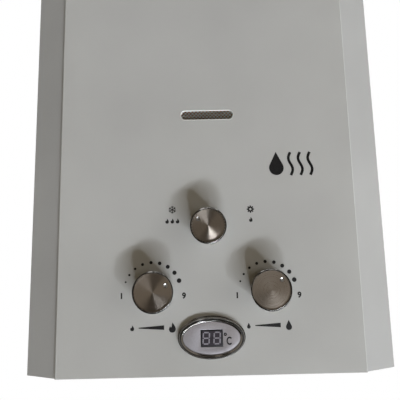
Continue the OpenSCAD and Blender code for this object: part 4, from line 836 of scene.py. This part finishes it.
points = bpy.data.meshes.new("bar_points")
spots, flags = [], []
for centre in DIGIT_X:
    for across, up, standing in BARS:
        spots.append(Vector((centre + across * DIGIT_W / 2, 0, up * DIGIT_H / 2)) * MM)
        flags.append(float(standing))
points.from_pydata(spots, [], [])
points.attributes.new("upright", "FLOAT", "POINT").data.foreach_set("value", flags)
mesh = grow(
    "digit_bars", bar_tree, points, Bar_Length=(DIGIT_W - BAR_W - 0.2) * MM, Bar_Width=BAR_W * MM,
    Thick=BAR_T * MM, Material=diffuser,
)
leaning = Matrix(((1, 0, SLANT, 0), (0, 1, 0, 0), (0, 0, 1, 0), (0, 0, 0, 1)))
mesh.transform(at(DISPLAY[0], BAR_Y, DISPLAY[1] + 0.1) @ leaning)
fit(tidy_mesh(mesh, 30), "casing", "white_plastic")


# ---- Printed marks ----
# Screen printed in black ink on the baked paint and on the face plate: rows of growing dots and the
# numerals 1 and 9 round the dials, pictograms of flame, drop, frost and sun, and a degree sign.
INK_FRONT, INK_T, PLATE_FRONT = -142.04, 0.06, -145.03
FROST, SUN = Vector((-33.9, 151)), Vector((41.1, 150.1))
SCALES_Z, ICON_Z = 42.0, 137.9
NUMERAL_H, NUMERAL_BOLD = 5.2, 0.32
DOTS, DOT_SMALL, DOT_BIG = 9, 1.8, 4.3
DOT_LATE = 1.05  # the dots stand a little closer together where they are small
# Ink dries matt and slightly uneven, so it hardly mirrors the room.
ink = finish(
    "screen_printed_ink", 1.5, ("#0F0E0E", "#1A1919"), (0.45, 0.6), IOR=1.5, Specular_IOR_Level=0.2,
)


def printed(name, shapes, front=INK_FRONT):
    """Thin solid prints from outlines of (x, case height) points in mm."""
    work = bmesh.new()
    for outline in shapes:
        faces = []
        for depth in (front, front + INK_T):
            faces.append([work.verts.new(Vector((x, depth, z + CASE_TO_ROW)) * MM) for x, z in outline])
        work.faces.new(faces[0])
        work.faces.new(reversed(faces[1]))
        for k in range(len(outline)):
            work.faces.new((faces[0][k - 1], faces[0][k], faces[1][k], faces[1][k - 1]))
    return tidy_mesh(shaped(work, bpy.data.meshes.new(name)), 30)


def stroke(points, width):
    """Outlines of a line of even width through points, one per leg, with square ends."""
    shapes = []
    for start, end in zip(points, points[1:]):
        start, end = Vector(start), Vector(end)
        along = (end - start).normalized() * width / 2
        side = Vector((-along.y, along.x))
        start, end = start - along * 0.3, end + along * 0.3
        shapes.append([start + side, start - side, end - side, end + side])
    return shapes


def arc(x, z, radius, start, end, count=24):
    """Points on an arc, angles in degrees."""
    steps = [start + (end - start) * k / count for k in range(count + 1)]
    return [Vector((x, z)) + toward(step) * radius for step in steps]


def band(x, z, inner, outer, start, end):
    """Outline of part of a ring."""
    return [arc(x, z, outer, start, end) + arc(x, z, inner, end, start)]


def drop(x, z, tall):
    """Outline of a water drop that stands on z."""
    r = tall * 0.31
    return [[(x, z + tall)] + arc(x, z + r, r, -205, 25, 28)]


def flame(x, z, tall):
    """Outline of a flame that stands on z."""
    form = [(0.02, 1), (0.16, 0.8), (0.3, 0.58), (0.36, 0.36), (0.31, 0.16), (0.17, 0.03), (0, 0)]
    form += [(-0.17, 0.03), (-0.31, 0.16), (-0.35, 0.36), (-0.29, 0.52), (-0.2, 0.64), (-0.15, 0.5)]
    form += [(-0.06, 0.62), (-0.04, 0.8)]
    return [[(x + u * tall, z + v * tall) for u, v in form]]


shapes = []
for x, icon in ((-53, flame), (54.5, drop)):
    shapes += icon(x - 19, SCALES_Z - 1.6, 5.2) + icon(x + 18, SCALES_Z - 3.6, 9)
    wedge = [(-13, 0.6), (10.5, -1), (10.5, 3), (-13, 1.4)]
    shapes += [[(x + u, SCALES_Z + v) for u, v in wedge]]
for k in range(6):
    out, side = toward(60 * k + 90), toward(60 * k + 180)
    shapes += stroke([FROST + out * 0.25, FROST + out * 3.5], 0.75)
    for way in (-1, 1):
        shapes += stroke([FROST + out * 1.9, FROST + out * 3 + side * way * 1.15], 0.6)
for k in range(8):
    out = toward(45 * k)
    shapes += stroke([SUN + out * 2.2, SUN + out * 3.3], 1.3)
    shapes += band(*SUN, 1.1, 2.5, 45 * k, 45 * k + 45)
for x in (-38.9, -33.9, -28.9, 41.1):
    shapes += flame(x, ICON_Z, 4.8)
shapes += drop(68, 182.5, 23)
for k in range(3):
    wave = [(82 + 9.5 * k + 1.9 * math.sin(math.tau * t / 16), 182.5 + 22 * t / 16) for t in range(17)]
    shapes += stroke(wave, 2.6)
fit(printed("printed_pictograms", shapes), "casing", "black_plastic", coat=ink)

dot_tree, add, given = new_growth(
    "growing_dots", "Arc Radius", "First Angle", "Last Angle", "Small", "Big", "Thick", Dots="Int",
)
row = add("GeometryNodeMeshLine", given["Dots"])["Mesh"]
last = add("ShaderNodeMath", given["Dots"], 1, operation="SUBTRACT")[0]
share = add("ShaderNodeMath", add("GeometryNodeInputIndex")[0], last, operation="DIVIDE")[0]
late = add("ShaderNodeMath", share, DOT_LATE, operation="POWER")[0]
angle = add("ShaderNodeMapRange", late, 0, 1, given["First Angle"], given["Last Angle"])[0]
width = add("ShaderNodeMapRange", share, 0, 1, given["Small"], given["Big"])[0]
right = add("ShaderNodeMath", angle, operation="COSINE")[0]
rise = add("ShaderNodeMath", angle, operation="SINE")[0]
arm = add("ShaderNodeCombineXYZ", X=right, Z=rise)[0]
spot = add("ShaderNodeVectorMath", arm, Scale=given["Arc Radius"], operation="SCALE")[0]
bent = add("GeometryNodeSetPosition", row, Position=spot)[0]
dot = add("GeometryNodeMeshCylinder", 28, Radius=0.5, Depth=given["Thick"])["Mesh"]
grown = add("ShaderNodeCombineXYZ", width, width, 1.0)[0]
dots = add(
    "GeometryNodeInstanceOnPoints", bent, Instance=dot, Rotation=(math.pi / 2, 0, 0), Scale=grown,
)[0]
end_growth(add, given, dots)

rows = []
for x, z, radius in ((-53.1, 75.2, 26.7), (54.4, 73.7, 27)):
    mesh = grow(
        "dot_row", dot_tree, Dots=DOTS, Arc_Radius=radius * MM, First_Angle=math.radians(159.8),
        Last_Angle=math.radians(21.1), Small=DOT_SMALL * MM, Big=DOT_BIG * MM, Thick=INK_T * MM, Material=ink,
    )
    mesh.transform(at(x, INK_FRONT + INK_T / 2, z + CASE_TO_ROW))
    rows.append(mesh)
fit(tidy_mesh(joined_mesh("dial_dots", *rows), 30), "casing", "black_plastic")


def numeral(text, x, z):
    """A printed figure with its middle at a place on the fascia."""
    curve = bpy.data.curves.new("numeral", "FONT")
    curve.body = text
    curve.size = NUMERAL_H * 1.37 * MM  # the type size for that height
    curve.align_x, curve.align_y = "CENTER", "CENTER"
    curve.extrude = INK_T / 2 * MM
    curve.offset = NUMERAL_BOLD * MM
    curve.resolution_u = 6
    mesh = settled(bpy.data.objects.new("numeral", curve), "numeral")
    mesh.transform(at(x, INK_FRONT + INK_T / 2, z + CASE_TO_ROW) @ Matrix.Rotation(math.pi / 2, 4, "X"))
    return mesh


NUMERALS = (("1", -82, 71.7), ("1", 25.8, 70.1), ("9", -23.8, 70.9), ("9", 83.8, 69.4))
figures = [numeral(*figure) for figure in NUMERALS]
fit(tidy_mesh(joined_mesh("dial_numerals", *figures), 30), "casing", "black_plastic", coat=ink)

unit = band(13.4, 36.8, 0.45, 1.45, 0, 180) + band(13.4, 36.8, 0.45, 1.45, 180, 360)
for outline in band(17.2, 31.1, 2.2, 3.6, 44, 316):
    unit.append([(17.2 + 0.8 * (x - 17.2), z) for x, z in outline])
fit(printed("degree_sign", unit, PLATE_FRONT), "casing", "dark_display", coat=ink)


# ---- Studio ----
# The heater hangs at eye height over a round pale floor in a white room. Daylight from a low window
# throws the knobs' shadows up and to the left, a softbox grazes from the right and two lamps stand
# behind. Dark screens and beams, met only by reflections, keep the polished pieces from whitening.
FLOOR_Z, FLOOR_R, FLOOR_POINTS = -2.0, 1.7, 96
SCREEN_DISTANCE = -0.9
DIM, DARK = (0.28, 0.25, 0.215), (0.03, 0.026, 0.022)
FILL = (0.183, 0.14, 0.08, 1.0)  # the room's warm light on what isn't polished
# Matt paint, trodden a shade paler in patches.
floor_mat = finish("matt_pale_floor", 400, ("#EDEDEB", "#F1F1F0"), Roughness=0.85)


def plain_rays(add):
    """1 for the rays that show the room itself: seen straight, in gloss or through glass."""
    path = add("ShaderNodeLightPath")
    seen = path["Is Camera Ray"]
    for kind in ("Is Glossy Ray", "Is Transmission Ray"):
        seen = add("ShaderNodeMath", seen, path[kind], operation="MAXIMUM")[0]
    return seen


# Towards its rim the floor melts into the white room.
tree = floor_mat.node_tree
add = partial(add_node, tree)
place = add("ShaderNodeTexCoord")["Object"]
level = add("ShaderNodeVectorMath", place, (1, 1, 0), operation="MULTIPLY")[0]
away = add("ShaderNodeVectorMath", level, operation="LENGTH")["Value"]
away = add("ShaderNodeMapRange", away, 0.4 * FLOOR_R, 0.98 * FLOOR_R)[0]
melting = add("ShaderNodeMath", away, plain_rays(add), operation="MULTIPLY")[0]
glow = add("ShaderNodeEmission", Strength=1.0)[0]
melt = add("ShaderNodeMixShader", melting, tree.nodes["Principled BSDF"].outputs[0], glow)[0]
tree.links.new(melt, tree.nodes["Material Output"].inputs["Surface"])


def stand(name, verts, faces, material):
    """Sets up a part of the studio, which isn't part of the object. Sizes here are in metres."""
    mesh = bpy.data.meshes.new(name)
    mesh.from_pydata(verts, [], faces)
    mesh.materials.append(material)
    holder = bpy.data.objects.new(name, mesh)
    scene.collection.objects.link(holder)
    return holder


rim_points = [(*(p * FLOOR_R), FLOOR_Z) for p in circle(FLOOR_POINTS)]
ground = stand("studio_floor", rim_points, [range(FLOOR_POINTS)], floor_mat)
ground.visible_shadow = False  # it doesn't hold back the low daylight


def screen(name, pairs, colour=DARK):
    """A glowing screen through pairs of points, met by reflections alone."""
    material, add = new_material(name)
    add("ShaderNodeOutputMaterial", add("ShaderNodeEmission", (*colour, 1))[0])
    verts = [point for pair in pairs for point in pair]
    faces = [(2 * k, 2 * k + 2, 2 * k + 3, 2 * k + 1) for k in range(len(pairs) - 1)]
    holder = stand(name, verts, faces, material)
    holder.visible_camera = holder.visible_diffuse = holder.visible_shadow = False


def upright(*columns):
    """Pairs of points for a screen that stands before the casing, from columns of (x, low, high)."""
    return [((x, SCREEN_DISTANCE, low), (x, SCREEN_DISTANCE, high)) for x, low, high in columns]


def round_room(radius, reach, low, high):
    """Pairs of points for a screen bent round the casing's front."""
    turns = range(-reach - 90, reach - 89, 10)
    return [[(*(toward(turn) * radius), z) for z in (low, high)] for turn in turns]


BELOW = [(-0.25, -2.0, -0.74), (-0.1, -2.0, -0.72), (0.04, -2.0, -0.71), (0.041, -2.0, -0.73)]
BELOW += [(0.13, -2.0, -0.73)]
ABOVE_RIGHT = [(-0.01, -0.43, 1.2), (0.05, -0.4, 1.2), (0.1, -0.32, 1.2), (0.25, -0.05, 1.2)]
BEAMS = ((-1.2, -0.62), (-0.25, -0.04), (0.06, 0.13), (0.22, 0.72), (0.95, 1.5))  # left and right edges
BEAM_Z = 0.9
screen("dark_room", round_room(2.9, 95, -4.5, 3.0))
screen("dim_room", round_room(2.6, 45, -2.3, 1.1), DIM)
screen("dark_floor", [((x, 0.35, -1.97), (x, -2.9, -1.97)) for x in (-1.6, 1.6)])
screen("dark_below", upright(*BELOW))
screen("dark_left_of_middle", upright((-0.18, -0.62, -0.5), (-0.05, -0.55, -0.42)))
screen("dark_above_left", upright((-0.2, -0.4, 1.2), (-0.08, -0.4, 1.2)))
for k, edges in enumerate(BEAMS):
    screen("dark_beam_%d" % k, [((x, -0.9, BEAM_Z), (x, 0.4, BEAM_Z)) for x in edges])
screen("dark_above_right", upright(*ABOVE_RIGHT))


def lamp(name, kind, where, aim, energy, colour=(1.0, 1.0, 1.0), gleam=False, **settings):
    """A lamp that faces a point and lights matt surfaces, or else gleams in polished ones."""
    data = bpy.data.lights.new(name, kind)
    data.energy = energy
    data.color = colour
    for key, value in settings.items():
        setattr(data, key, value)
    holder = bpy.data.objects.new(name, data)
    way = Vector(aim) - Vector(where)
    holder.matrix_world = Matrix.Translation(where) @ way.to_track_quat("-Z", "Y").to_matrix().to_4x4()
    holder.visible_camera = False
    holder.visible_glossy, holder.visible_diffuse = gleam, not gleam
    scene.collection.objects.link(holder)


# The window is a strip of cool daylight well off the front, from straight below to low right. Its two
# ends throw the shadows, and its lower half gleams in metal. Each light has its turn and its strength.
WINDOW_OFF, WINDOW_PART = math.radians(60.5), math.radians(7)
COOL = (0.95, 1.0, 1.08)
DAYLIGHT = ((-83, 1.42), (-73, 0.77), (-63, 0.65), (-53, 0.75), (-43, 1.35))
GLEAM = ((-81, 1.1), (-74, 0.95), (-67, 0.95), (-60, 0.95), (-53, 1.1), (-46, 0.22), (-39, 0.2), (-32, 0.2))
for name, strip, gleam in (("window", DAYLIGHT, False), ("gleam", GLEAM, True)):
    for k, (turn, strength) in enumerate(strip):
        x, z = toward(turn) * math.sin(WINDOW_OFF)
        where = (x, -math.cos(WINDOW_OFF), z)
        lamp(name + "_%d" % k, "SUN", where, (0, 0, 0), strength, COOL, gleam, angle=WINDOW_PART)
soft = {"shape": "RECTANGLE", "size": 1.2, "size_y": 1.4}
lamp("right_softbox", "AREA", (1.7, -0.62, -0.3), (0.1, -0.1, -0.35), 19, **soft)
lamp("left_back_lamp", "AREA", (-1.6, 0.9, 0.4), (0, 0, -0.3), 38, **soft)
lamp("right_back_lamp", "AREA", (1.2, 1.5, 0.9), (0, 0, -0.2), 35, **soft)

world = bpy.data.worlds.new("white_room")
world.use_nodes = True
scene.world = world
tree = world.node_tree
add = partial(add_node, tree)
room = add("ShaderNodeMix", Factor=plain_rays(add), A=FILL, B=(1, 1, 1, 1), data_type="RGBA")["Result"]
tree.links.new(room, tree.nodes["Background"].inputs["Color"])
